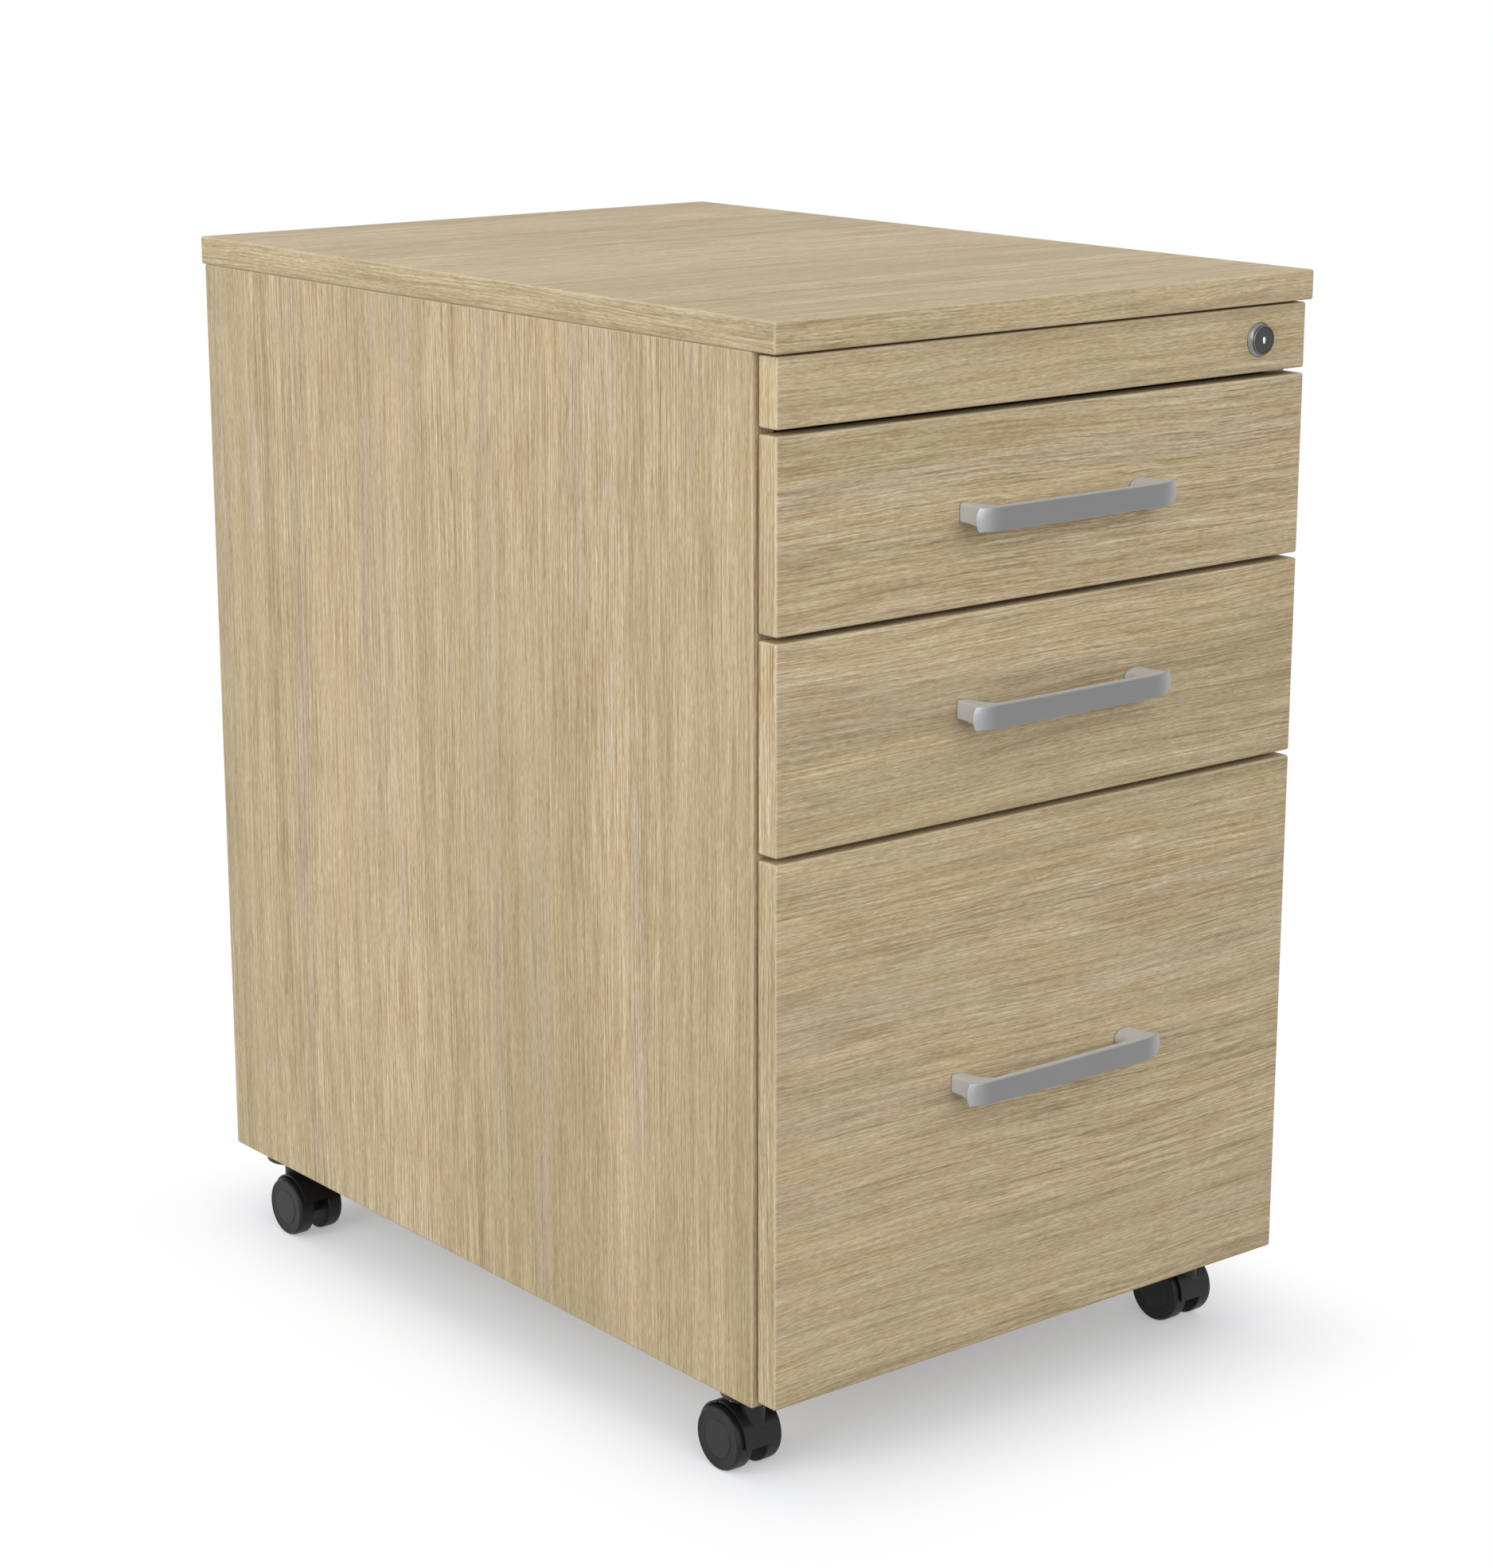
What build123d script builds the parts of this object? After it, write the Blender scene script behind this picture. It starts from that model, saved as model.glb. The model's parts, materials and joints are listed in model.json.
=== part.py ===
from build123d import *
import os
from math import cos, radians, sin

# Mobile drawer pedestal of laminate board: two box drawers and a file drawer on
# telescopic runners, a lock rail with a central locking bar, and four twin-wheel castors.
# Millimetres. +Z is up, the drawer fronts face -Y, and the origin lies on the floor,
# in the middle of the footprint.

# Boards
top_width = 420.0
top_depth = 600.0
top_thickness = 18.0
board_thickness = 16.0
front_thickness = 16.0
edge_bevel = 1.5
top_side_overhang = 1.0
top_back_overhang = 2.5
top_front_overhang = 2.5
front_side_inset = 2.5
front_gap = 3.5
rail_gap = 1.5
bottom_reveal = 4.0
bumper_gap = 2.0
rail_height = 39.5
upper_front_height = 110.5
middle_front_height = 121.5
lower_front_height = 326.5

# Telescopic runners
runner_gap = 13.0
runner_rear_gap = 59.0
runner_height = 45.0
runner_gauge = 1.2
runner_play = 0.4
runner_setback = 2.0
runner_rise = 32.0
file_runner_rise = 120.0
channel_lip = 3.0

# Folded steel drawer boxes
box_gauge = 1.2
box_lip = 8.0
box_floor_lift = 14.0
box_top_drop = 16.0
file_box_floor_gap = 8.0
file_box_top_drop = 66.0
file_rail_spacing = 330.0
file_rail_width = 4.0
file_rail_height = 15.0
file_rail_drop = 3.0

# Bow handles
handle_spacing = 128.0
handle_length = 158.0
handle_projection = 25.0
handle_height = 14.2
handle_grip = 5.2
handle_end_bulge = 1.8
handle_end_sweep = 3.6
handle_end_reach = 15.0
handle_edge = 0.6
foot_height = 11.3
foot_outer = 9.5
foot_inner = 4.0
flare_power = 2.6
flare_steps = 6
flare_outer = 12.0
flare_inner = 26.0
handle_drop = 55.25
file_handle_drop = 155.5

# Cam lock and its locking bar
lock_inset = 40.0
lock_flange_diameter = 21.0
lock_barrel_diameter = 18.6
lock_nose = 4.0
lock_nose_diameter = 17.2
plug_diameter = 15.2
plug_tail = 6.0
keyway_width = 1.4
keyway_height = 7.5
keyway_depth = 7.0
lock_tail = 8.0
lock_nut_diameter = 24.0
lock_nut_thickness = 4.0
crank_rim = 3.0
crank_thickness = 3.0
crank_radius = 7.0
crank_rest_angle = 45.0
crank_pin_diameter = 4.0
slot_play = 0.4
bar_width = 12.0
bar_thickness = 3.0
bar_play = 0.3
bar_tail = 18.0
tab_height = 14.0
tab_rim = 3.0
pin_diameter = 6.0
pin_reach = 9.0
pin_clearance = 1.5
catch_reach = 8.0
catch_height = 12.0
catch_length = 20.0
catch_gauge = 2.0
catch_lift = 4.0
catch_play = 0.6
guide_height = 16.0
guide_wing = 8.0
guide_gauge = 1.2

# Twin-wheel castors
wheel_diameter = 40.0
wheel_outer = 17.0
wheel_inner = 6.0
wheel_shoulder = 3.0
wheel_chamfer = 1.6
hub_depth = 3.5
hood_clearance = 0.7
hood_wall = 1.4
hood_half_width = 12.5
hood_back_half_width = 13.1
hood_front_angle = 185.0
hood_step_angle = 75.0
hood_back_angle = 20.0
castor_web = 11.0
castor_boss_diameter = 16.0
castor_neck = 7.9
castor_trail = 12.5
stem_diameter = 15.0
castor_pin_diameter = 8.0
castor_pin_length = 20.0
axle_diameter = 6.0
plate_diameter = 39.0
plate_thickness = 3.0
plate_screw_circle = 28.0
swivel_play = 0.4
castor_left_inset = 21.0
castor_right_inset = 35.0
castor_front_inset = 25.0
castor_rear_inset = 43.0

# Fasteners and fits
fastener_sides = 8
screw_diameter = 3.5
screw_length = 13.0
screw_head_diameter = 7.0
screw_head_height = 1.6
handle_screw_diameter = 4.0
handle_screw_grip = 9.0
handle_screw_head_diameter = 8.0
handle_screw_head_height = 2.4
dowel_diameter = 8.0
dowel_length = 32.0
dowel_side_depth = 10.0
cam_diameter = 15.0
cam_depth = 12.5
cam_drop = 34.0
cam_bolt_diameter = 6.0
cam_bolt_top_depth = 11.0
bracket_leg = 22.0
bracket_width = 24.0
bracket_gauge = 2.0
bracket_end_inset = 45.0
fixing_inset = 60.0
hole_play = 0.05
running_play = 0.05

# Places worked out from the sizes above
outer_half = top_width / 2 - top_side_overhang
inner_half = outer_half - board_thickness
front_half = outer_half - front_side_inset
box_half = inner_half - runner_gap

overall_depth = top_depth - top_front_overhang + handle_projection
back_y = overall_depth / 2
face_y = back_y - top_depth + top_front_overhang
front_back_y = face_y + front_thickness
carcass_front_y = front_back_y + bumper_gap
carcass_back_y = back_y - top_back_overhang
back_panel_y = carcass_back_y - board_thickness
runner_y = carcass_front_y + runner_setback
runner_end_y = back_panel_y - runner_rear_gap
runner_length = runner_end_y - runner_y

wheel_radius = wheel_diameter / 2
hood_radius = wheel_radius + hood_clearance
castor_height = wheel_diameter + hood_clearance + hood_wall + castor_neck + plate_thickness
carcass_bottom_z = castor_height
bottom_top_z = carcass_bottom_z + board_thickness
lower_front_z = carcass_bottom_z + bottom_reveal
middle_front_z = lower_front_z + lower_front_height + front_gap
upper_front_z = middle_front_z + middle_front_height + front_gap
rail_z = upper_front_z + upper_front_height + front_gap
carcass_top_z = rail_z + rail_height + rail_gap

lock_x = front_half - lock_inset
lock_z = rail_z + rail_height / 2
crank_y = front_back_y + lock_tail + swivel_play
bar_front_y = crank_y + crank_thickness + slot_play
bar_back_y = bar_front_y + bar_width
pin_y = (bar_front_y + bar_back_y) / 2
crank_offset = crank_radius * sin(radians(crank_rest_angle))
slot_z = lock_z + crank_offset
bar_lift = 2 * crank_offset

castor_xs = {"left": castor_left_inset - outer_half, "right": outer_half - castor_right_inset}
castor_places = {
    "front": (carcass_front_y + castor_front_inset, 1),
    "rear": (carcass_back_y - castor_rear_inset, -1),
}
stems = [(x, y) for x in castor_xs.values() for y, turn in castor_places.values()]
sides = {"left": -1, "right": 1}


class Drawer:
    """The heights of one drawer: its front, its box, its handle, its runner and its catch."""

    def __init__(self, name, front_z, front_height, box_z, top_drop, rise, drop):
        self.name = name
        self.front_z = front_z
        self.front_top_z = front_z + front_height
        self.box_z = box_z
        self.box_top_z = self.front_top_z - top_drop
        self.runner_z = box_z + rise
        self.handle_z = self.front_top_z - drop
        self.catch_z = self.runner_z + runner_height / 2 + catch_lift
        self.pin_z = self.catch_z + catch_height + pin_clearance + pin_diameter / 2


drawers = [
    Drawer("lower", lower_front_z, lower_front_height, bottom_top_z + file_box_floor_gap,
           file_box_top_drop, file_runner_rise, file_handle_drop),
    Drawer("middle", middle_front_z, middle_front_height, middle_front_z + box_floor_lift,
           box_top_drop, runner_rise, handle_drop),
    Drawer("upper", upper_front_z, upper_front_height, upper_front_z + box_floor_lift,
           box_top_drop, runner_rise, handle_drop),
]


def save(name, shape):
    """Write one named piece, or group of like pieces, as a STEP file."""
    solids = list(shape) if isinstance(shape, list) else [shape]
    export_step(Compound(children=solids) if len(solids) > 1 else solids[0], f"parts/{name}.step")


def block(x_low, x_high, y_low, y_high, z_low, z_high):
    """A box given by its six faces."""
    middle = Pos((x_low + x_high) / 2, (y_low + y_high) / 2, (z_low + z_high) / 2)
    return middle * Box(x_high - x_low, y_high - y_low, z_high - z_low)


def board(*faces):
    """A laminate board, with its taped edges eased."""
    shape = block(*faces)
    return chamfer(shape.edges(), edge_bevel)


def rod(start, direction, diameter, length):
    """A round bar from a point along a direction."""
    return extrude(Plane(origin=start, z_dir=direction) * Circle(diameter / 2), amount=length)


def shank(start, direction, diameter, length):
    """A small fastener's bar, or the hole for one, drawn with few sides."""
    outline = RegularPolygon(diameter / 2, fastener_sides)
    return extrude(Plane(origin=start, z_dir=direction) * outline, amount=length)


def along_y(outline, y_low, y_high):
    """A section drawn in X and Z, carried along Y."""
    plane = Plane(origin=(0, y_low, 0), x_dir=(1, 0, 0), z_dir=(0, -1, 0))
    return extrude(plane * make_face(Polyline(*outline, close=True)), amount=y_low - y_high)


# Fasteners: each screw is a seat point and the way that its shank goes
def screw(seat, way):
    back = tuple(-part for part in way)
    head = shank(seat, back, screw_head_diameter, screw_head_height)
    return head + shank(seat, way, screw_diameter, screw_length)


def screw_hole(seat, way):
    return shank(seat, way, screw_diameter + 2 * hole_play, screw_length + runner_play)


def dowel_hole(start, way):
    return shank(start, way, dowel_diameter + 2 * hole_play, dowel_length)


runner_screw_ys = (carcass_front_y + fixing_inset, runner_end_y - fixing_inset)
runner_screws = {
    side: [
        ((sign * (inner_half - runner_gauge), y, drawer.runner_z), (sign, 0, 0))
        for drawer in drawers for y in runner_screw_ys
    ]
    for side, sign in sides.items()
}

guide_zs = [
    (low.pin_z + high.runner_z - runner_height / 2) / 2 for low, high in zip(drawers, drawers[1:])
]
guide_zs.append((drawers[-1].pin_z + slot_z - tab_height / 2 - bar_lift) / 2)
guide_ys = (bar_front_y - guide_wing / 2, bar_back_y + guide_wing / 2)
guide_screws = [
    ((inner_half - guide_gauge, y, z), (1, 0, 0)) for z in guide_zs for y in guide_ys
]

bracket_first_x = bracket_end_inset - front_half
bracket_last_x = lock_x - bracket_end_inset
bracket_xs = (bracket_first_x, (bracket_first_x + bracket_last_x) / 2, bracket_last_x)
bracket_top_screws = [
    ((x, front_back_y + bracket_leg / 2 + bracket_gauge, carcass_top_z - bracket_gauge), (0, 0, 1))
    for x in bracket_xs
]
bracket_rail_screws = [
    ((x, front_back_y + bracket_gauge, carcass_top_z - bracket_leg / 2 - bracket_gauge), (0, -1, 0))
    for x in bracket_xs
]

plate_z = carcass_bottom_z - plate_thickness
plate_reach = plate_screw_circle / 2
castor_screws = [
    ((x + along, y + across, plate_z), (0, 0, 1)) for x, y in stems
    for along, across in ((-plate_reach, 0), (plate_reach, 0), (0, -plate_reach), (0, plate_reach))
]
castor_bottom_screws = [each for each in castor_screws if abs(each[0][0]) < inner_half]
castor_side_screws = {
    side: [each for each in castor_screws if sign * each[0][0] > inner_half] for side, sign in sides.items()
}

# Dowels: bottom board and back board into the sides, sides into the top
dowel_ys = (carcass_front_y + 2 * fixing_inset, back_panel_y - 2 * fixing_inset)
dowel_zs = (carcass_bottom_z + fixing_inset, carcass_top_z - fixing_inset)
side_middle = inner_half + board_thickness / 2
side_dowels = {
    side: [((sign * (inner_half + dowel_side_depth), y, z), (-sign, 0, 0))
           for y, z in [(y, carcass_bottom_z + board_thickness / 2) for y in dowel_ys]
           + [(back_panel_y + board_thickness / 2, z) for z in dowel_zs]]
    for side, sign in sides.items()
}
top_dowels = {
    side: [((sign * side_middle, y, carcass_top_z + dowel_side_depth), (0, 0, -1)) for y in dowel_ys]
    for side, sign in sides.items()
}

# Cam fittings: a bolt in the top board, caught by a cam disc in each side panel
cam_ys = (carcass_front_y + fixing_inset, carcass_back_y - fixing_inset)
cam_z = carcass_top_z - cam_drop
cam_seats = [(sign, y) for sign in sides.values() for y in cam_ys]


def cam_disc(sign, y, play=0.0):
    return rod((sign * inner_half, y, cam_z), (sign, 0, 0), cam_diameter + 2 * play, cam_depth + play)


def cam_bolt(sign, y, play=0.0):
    length = cam_bolt_top_depth + cam_drop - cam_diameter / 2
    top = (sign * side_middle, y, carcass_top_z + cam_bolt_top_depth + play)
    return shank(top, (0, 0, -1), cam_bolt_diameter + 2 * play, length + play)


def make_side_panel(side):
    """A side panel, bored for its fittings. The right one has the locking bar's groove."""
    sign = sides[side]
    xs = sorted((sign * inner_half, sign * outer_half))
    panel = board(*xs, carcass_front_y, carcass_back_y, carcass_bottom_z, carcass_top_z)
    cuts = [screw_hole(*each) for each in runner_screws[side] + castor_side_screws[side]]
    cuts += [dowel_hole(*each) for each in side_dowels[side] + top_dowels[side]]
    for y in cam_ys:
        cuts += [cam_disc(sign, y, hole_play), cam_bolt(sign, y, hole_play)]
    if side == "right":
        groove_end_z = drawers[0].pin_z - bar_tail - bar_lift - pin_clearance
        groove_bottom = inner_half + bar_thickness + 2 * bar_play
        cuts.append(block(inner_half - bar_play, groove_bottom, bar_front_y - bar_play,
                          bar_back_y + bar_play, groove_end_z, carcass_top_z))
        cuts += [screw_hole(*each) for each in guide_screws]
    return panel - cuts


def make_top_panel():
    half = top_width / 2
    panel = board(-half, half, back_y - top_depth, back_y, carcass_top_z, carcass_top_z + top_thickness)
    cuts = [screw_hole(*each) for each in bracket_top_screws]
    cuts += [dowel_hole(*each) for each in top_dowels["left"] + top_dowels["right"]]
    cuts += [cam_bolt(*each, hole_play) for each in cam_seats]
    return panel - cuts


def make_bottom_panel():
    panel = block(-inner_half, inner_half, carcass_front_y, back_panel_y, carcass_bottom_z, bottom_top_z)
    cuts = [screw_hole(*each) for each in castor_bottom_screws]
    cuts += [dowel_hole(*each) for each in side_dowels["left"] + side_dowels["right"]]
    return panel - cuts


def make_back_panel():
    panel = block(-inner_half, inner_half, back_panel_y, carcass_back_y, carcass_bottom_z, carcass_top_z)
    return panel - [dowel_hole(*each) for each in side_dowels["left"] + side_dowels["right"]]


def make_lock_rail():
    """The fixed fascia over the drawers, bored for the lock."""
    rail = board(-front_half, front_half, face_y, front_back_y, rail_z, rail_z + rail_height)
    bore = rod((lock_x, face_y - lock_nose, lock_z), (0, 1, 0), lock_barrel_diameter + 2 * hole_play,
               lock_nose + 2 * front_thickness)
    return rail - [bore] - [screw_hole(*each) for each in bracket_rail_screws]


def make_rail_bracket(x):
    """An angle bracket between the lock rail and the underside of the top."""
    angle = [
        (front_back_y, carcass_top_z), (front_back_y + bracket_leg, carcass_top_z),
        (front_back_y + bracket_leg, carcass_top_z - bracket_gauge),
        (front_back_y + bracket_gauge, carcass_top_z - bracket_gauge),
        (front_back_y + bracket_gauge, carcass_top_z - bracket_leg),
        (front_back_y, carcass_top_z - bracket_leg),
    ]
    section = Plane.YZ.offset(x) * make_face(Polyline(*angle, close=True))
    shape = extrude(section, amount=bracket_width / 2, both=True)
    holes = [screw_hole((at[0], at[1] - bracket_gauge * way[1], at[2] - bracket_gauge * way[2]), way)
             for at, way in bracket_top_screws + bracket_rail_screws if at[0] == x]
    return shape - holes


# Runners: three nested channels a side, each section given by its distance in from the side panel
carrier_web = runner_gauge + screw_head_height + runner_play
carrier_tip = runner_gap - runner_gauge - 2 * runner_play
channel_tip = runner_gap - channel_lip
slide_tip = carrier_web + runner_gauge + 2 * runner_play
channel_half = runner_height / 2
carrier_half = channel_half - runner_gauge - runner_play
slide_half = carrier_half - runner_gauge - runner_play


def make_runner(drawer, web, tip, half, length):
    """A pair of runner members: a flat web and two flanges, rolled from steel strip."""
    wall = runner_gauge if tip > web else -runner_gauge
    section = [
        (web, -half), (web, half), (tip, half), (tip, half - runner_gauge),
        (web + wall, half - runner_gauge), (web + wall, runner_gauge - half),
        (tip, runner_gauge - half), (tip, -half),
    ]
    pair = []
    for sign in sides.values():
        outline = [(sign * (inner_half - inward), drawer.runner_z + up) for inward, up in section]
        pair.append(along_y(outline, runner_y, runner_y + length))
    return pair


def make_channels(drawer):
    """The fixed runner members, with a hole for each of their screws."""
    pair = make_runner(drawer, 0, channel_tip, channel_half, runner_length)
    holes = []
    for side in sides:
        for at, way in runner_screws[side]:
            holes.append(screw_hole((at[0] - way[0] * runner_gauge, at[1], at[2]), way))
    return [member - holes for member in pair]


# Drawers
box_end_y = runner_end_y


def box_screw_places(drawer):
    """The seats of the screws that hold a drawer box to its front."""
    seat_y = front_back_y + box_gauge
    zs = (drawer.box_z + fixing_inset / 3, drawer.box_top_z - fixing_inset / 3)
    xs = (fixing_inset - box_half, box_half - fixing_inset)
    return [((x, seat_y, z), (0, -1, 0)) for x in xs for z in zs]


def handle_screw_places(drawer):
    seat_y = front_back_y + box_gauge
    return [((sign * handle_spacing / 2, seat_y, drawer.handle_z), (0, -1, 0)) for sign in sides.values()]


def handle_screw_reach(play=0.0):
    return box_gauge + front_thickness + handle_screw_grip + play


def handle_screw_hole(seat, way):
    """A clear hole through the box's front wall, the drawer front and into the handle's foot."""
    return shank(seat, way, handle_screw_diameter + 2 * hole_play, handle_screw_reach(runner_play))


def make_drawer_front(drawer):
    front = board(-front_half, front_half, face_y, front_back_y, drawer.front_z, drawer.front_top_z)
    cuts = [screw_hole(*each) for each in box_screw_places(drawer)]
    cuts += [handle_screw_hole(*each) for each in handle_screw_places(drawer)]
    return front - cuts


def make_drawer_box(drawer):
    """A tray folded from sheet steel, with a lip turned in along its sides and back."""
    wall = box_gauge
    tray = block(-box_half, box_half, front_back_y, box_end_y, drawer.box_z, drawer.box_top_z)
    inside = block(wall - box_half, box_half - wall, front_back_y + wall, box_end_y - wall,
                   drawer.box_z + wall, drawer.box_top_z - wall)
    mouth = block(box_lip - box_half, box_half - box_lip, front_back_y + wall, box_end_y - box_lip,
                  drawer.box_top_z - 2 * wall, drawer.box_top_z + wall)
    holes = [screw_hole(at, way) for at, way in box_screw_places(drawer)]
    holes += [handle_screw_hole(at, way) for at, way in handle_screw_places(drawer)]
    return tray - [inside, mouth] - holes


def make_drawer_screws(drawer):
    """The screws that join a drawer box, its front and its handle."""
    group = [screw(*each) for each in box_screw_places(drawer)]
    for seat, way in handle_screw_places(drawer):
        head = shank(seat, (0, 1, 0), handle_screw_head_diameter, handle_screw_head_height)
        group.append(head + shank(seat, way, handle_screw_diameter, handle_screw_reach()))
    return group


def make_lock_catch(drawer):
    """A steel angle on the drawer's right side that the locking bar's pin drops in front of."""
    front_y = pin_y + pin_diameter / 2 + catch_play
    angle = [
        (box_half, front_y), (box_half + catch_reach, front_y),
        (box_half + catch_reach, front_y + catch_gauge), (box_half + catch_gauge, front_y + catch_gauge),
        (box_half + catch_gauge, front_y + catch_length), (box_half, front_y + catch_length),
    ]
    section = Plane.XY.offset(drawer.catch_z) * make_face(Polyline(*angle, close=True))
    return extrude(section, amount=catch_height)


def make_file_rails(drawer):
    """Two flat bars, front to back, that hanging files hook over."""
    top = drawer.box_top_z - box_gauge - file_rail_drop
    bar = block(-file_rail_width / 2, file_rail_width / 2, front_back_y + box_gauge, box_end_y - box_gauge,
                top - file_rail_height, top)
    return [Pos(sign * file_rail_spacing / 2, 0, 0) * bar for sign in sides.values()]


# The grip bar's top is level with the top of the feet, so its middle is lower than theirs
grip_drop = (handle_height - foot_height) / 2


def make_leg_section(face_plane, share):
    """A D-shaped section of a handle's leg, at a share of the way from the drawer front to the grip bar."""
    flare = share ** flare_power
    hole = handle_spacing / 2
    leg_length = handle_projection - handle_grip + 2 * handle_edge
    drop = grip_drop * flare
    tall = foot_height / 2 + (handle_height / 2 - handle_edge - foot_height / 2) * flare
    outer_x = hole + foot_outer + (flare_outer - foot_outer) * flare
    inner_x = hole - foot_inner - (flare_inner - foot_inner) * flare
    round_x = outer_x - handle_edge
    outline = [
        Line((round_x, tall - drop), (outer_x, tall - drop)),
        Line((outer_x, tall - drop), (outer_x, -tall - drop)),
        Line((outer_x, -tall - drop), (round_x, -tall - drop)),
        EllipticalCenterArc((round_x, -drop), round_x - inner_x, tall, 90, arc_size=180),
    ]
    return face_plane.offset(share * leg_length) * make_face(outline)


def make_handle(drawer):
    """A cast bow handle: a swept grip bar on two legs that narrow towards the drawer front."""
    half = handle_length / 2
    back = face_y - handle_projection + handle_grip
    front = face_y - handle_projection
    end_y = front + handle_end_sweep
    shoulder = half - handle_end_reach
    plan = [
        ThreePointArc((-shoulder, front + handle_edge), (0, front), (shoulder, front + handle_edge)),
        TangentArc((shoulder, front + handle_edge), (half, end_y), tangent=(1, 0)),
        Line((half, end_y), (half, back)),
        Line((half, back), (-half, back)),
        Line((-half, back), (-half, end_y)),
        TangentArc((-shoulder, front + handle_edge), (-half, end_y), tangent=(-1, 0)),
    ]
    grip_z = drawer.handle_z - grip_drop
    grip = extrude(Plane.XY.offset(grip_z - handle_height / 2) * make_face(plan), amount=handle_height)
    square_half = half - handle_end_bulge
    outline = [
        Line((-square_half, handle_height / 2), (square_half, handle_height / 2)),
        ThreePointArc((square_half, handle_height / 2), (half, 0), (square_half, -handle_height / 2)),
        Line((square_half, -handle_height / 2), (-square_half, -handle_height / 2)),
        ThreePointArc((-square_half, -handle_height / 2), (-half, 0), (-square_half, handle_height / 2)),
    ]
    grip_plane = Plane(origin=(0, face_y, grip_z), x_dir=(1, 0, 0), z_dir=(0, -1, 0))
    grip = grip & extrude(grip_plane * make_face(outline), amount=2 * handle_projection)

    face_plane = Plane(origin=(0, face_y, drawer.handle_z), x_dir=(1, 0, 0), z_dir=(0, -1, 0))
    sections = [make_leg_section(face_plane, step / flare_steps) for step in range(flare_steps + 1)]
    leg = loft(sections, ruled=True)
    handle = grip + leg + mirror(leg, about=Plane.YZ)
    return handle - [handle_screw_hole(*each) for each in handle_screw_places(drawer)]


# Lock: a barrel through the rail, a plug in it, and a crank on the plug's square tail
lock_end_y = front_back_y + lock_tail
nose_y = face_y - lock_nose
crank_lean = radians(crank_rest_angle)
crank_way = (cos(crank_lean), 0, sin(crank_lean))
crank_plane = Plane(origin=(lock_x, crank_y, lock_z), x_dir=crank_way, z_dir=(0, -1, 0))


def make_lock_body():
    """The barrel, with a bevelled flange that covers the edge of its hole."""
    barrel = lock_barrel_diameter / 2
    bore = plug_diameter / 2 + running_play
    outline = [
        (bore, lock_end_y), (barrel, lock_end_y), (barrel, face_y),
        (lock_flange_diameter / 2, face_y), (lock_nose_diameter / 2, nose_y), (bore, nose_y),
    ]
    return Pos(lock_x, 0, lock_z) * revolve(make_face(Polyline(*outline, close=True)), Axis.Y)


def make_lock_plug():
    """The turning core, with a keyway in its face and a square tail for the crank."""
    face = nose_y + running_play
    core = rod((lock_x, face, lock_z), (0, 1, 0), plug_diameter, crank_y - face)
    tail = extrude(crank_plane * Rectangle(plug_tail, plug_tail), amount=-crank_thickness)
    keyway = block(lock_x - keyway_width / 2, lock_x + keyway_width / 2, nose_y, face + keyway_depth,
                   lock_z - keyway_height / 2, lock_z + keyway_height / 2)
    return core + tail - keyway


def make_lock_nut():
    """A six-sided nut that clamps the barrel behind the rail."""
    plane = Plane(origin=(lock_x, front_back_y, lock_z), z_dir=(0, 1, 0))
    outline = RegularPolygon(lock_nut_diameter / 2, 6) - Circle(lock_barrel_diameter / 2 + hole_play)
    return extrude(plane * outline, amount=lock_nut_thickness)


def make_lock_crank():
    """An arm on the plug's tail, with a pin at its end that lifts the locking bar."""
    arm = Pos(crank_radius / 2, 0) * SlotCenterToCenter(crank_radius, plug_tail + 2 * crank_rim)
    arm -= Rectangle(plug_tail + 2 * hole_play, plug_tail + 2 * hole_play)
    pin = Pos(crank_radius, 0) * Circle(crank_pin_diameter / 2)
    pin_length = crank_thickness + bar_thickness + 2 * slot_play
    flat_arm = extrude(crank_plane * arm, amount=-crank_thickness)
    return flat_arm + extrude(crank_plane * pin, amount=-pin_length)


def make_locking_bar():
    """A flat bar in the right panel's groove, with a pin for each drawer and a slotted tab at the lock."""
    x_low = inner_half + bar_play
    x_high = x_low + bar_thickness
    low_z = drawers[0].pin_z - bar_tail
    high_z = slot_z + tab_height / 2
    bar = block(x_low, x_high, bar_front_y, bar_back_y, low_z, high_z)
    slot_low = lock_x + crank_offset - crank_pin_diameter / 2 - slot_play
    slot_high = lock_x + crank_radius + crank_pin_diameter / 2 + slot_play
    tab = block(slot_low - tab_rim, x_high, bar_front_y, bar_front_y + bar_thickness,
                high_z - tab_height, high_z)
    slot_half = crank_pin_diameter / 2 + slot_play
    slot = block(slot_low, slot_high, bar_front_y - slot_play, bar_front_y + bar_thickness + slot_play,
                 slot_z - slot_half, slot_z + slot_half)
    pins = [rod((x_high, pin_y, drawer.pin_z), (-1, 0, 0), pin_diameter, x_high - inner_half + pin_reach)
            for drawer in drawers]
    return bar + (tab - slot) + pins


def make_bar_guide(z):
    """A strap over the groove that keeps the locking bar in it."""
    strap = block(inner_half - guide_gauge, inner_half, bar_front_y - guide_wing, bar_back_y + guide_wing,
                  z - guide_height / 2, z + guide_height / 2)
    holes = [screw_hole((at[0] - guide_gauge, at[1], at[2]), way) for at, way in guide_screws if at[2] == z]
    return strap - holes


# Castors, built with the stem at the origin and the axle behind it, then set in place
def ring_sector(inner, outer, from_angle, to_angle):
    """A band between two radii and two angles, drawn in Y and Z about the axle."""
    def at(radius, angle):
        return (radius * cos(radians(angle)), radius * sin(radians(angle)))
    turn = to_angle - from_angle
    return make_face([
        CenterArc((0, 0), outer, from_angle, turn), Line(at(outer, to_angle), at(inner, to_angle)),
        CenterArc((0, 0), inner, from_angle, turn), Line(at(inner, from_angle), at(outer, from_angle)),
    ])


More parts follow.
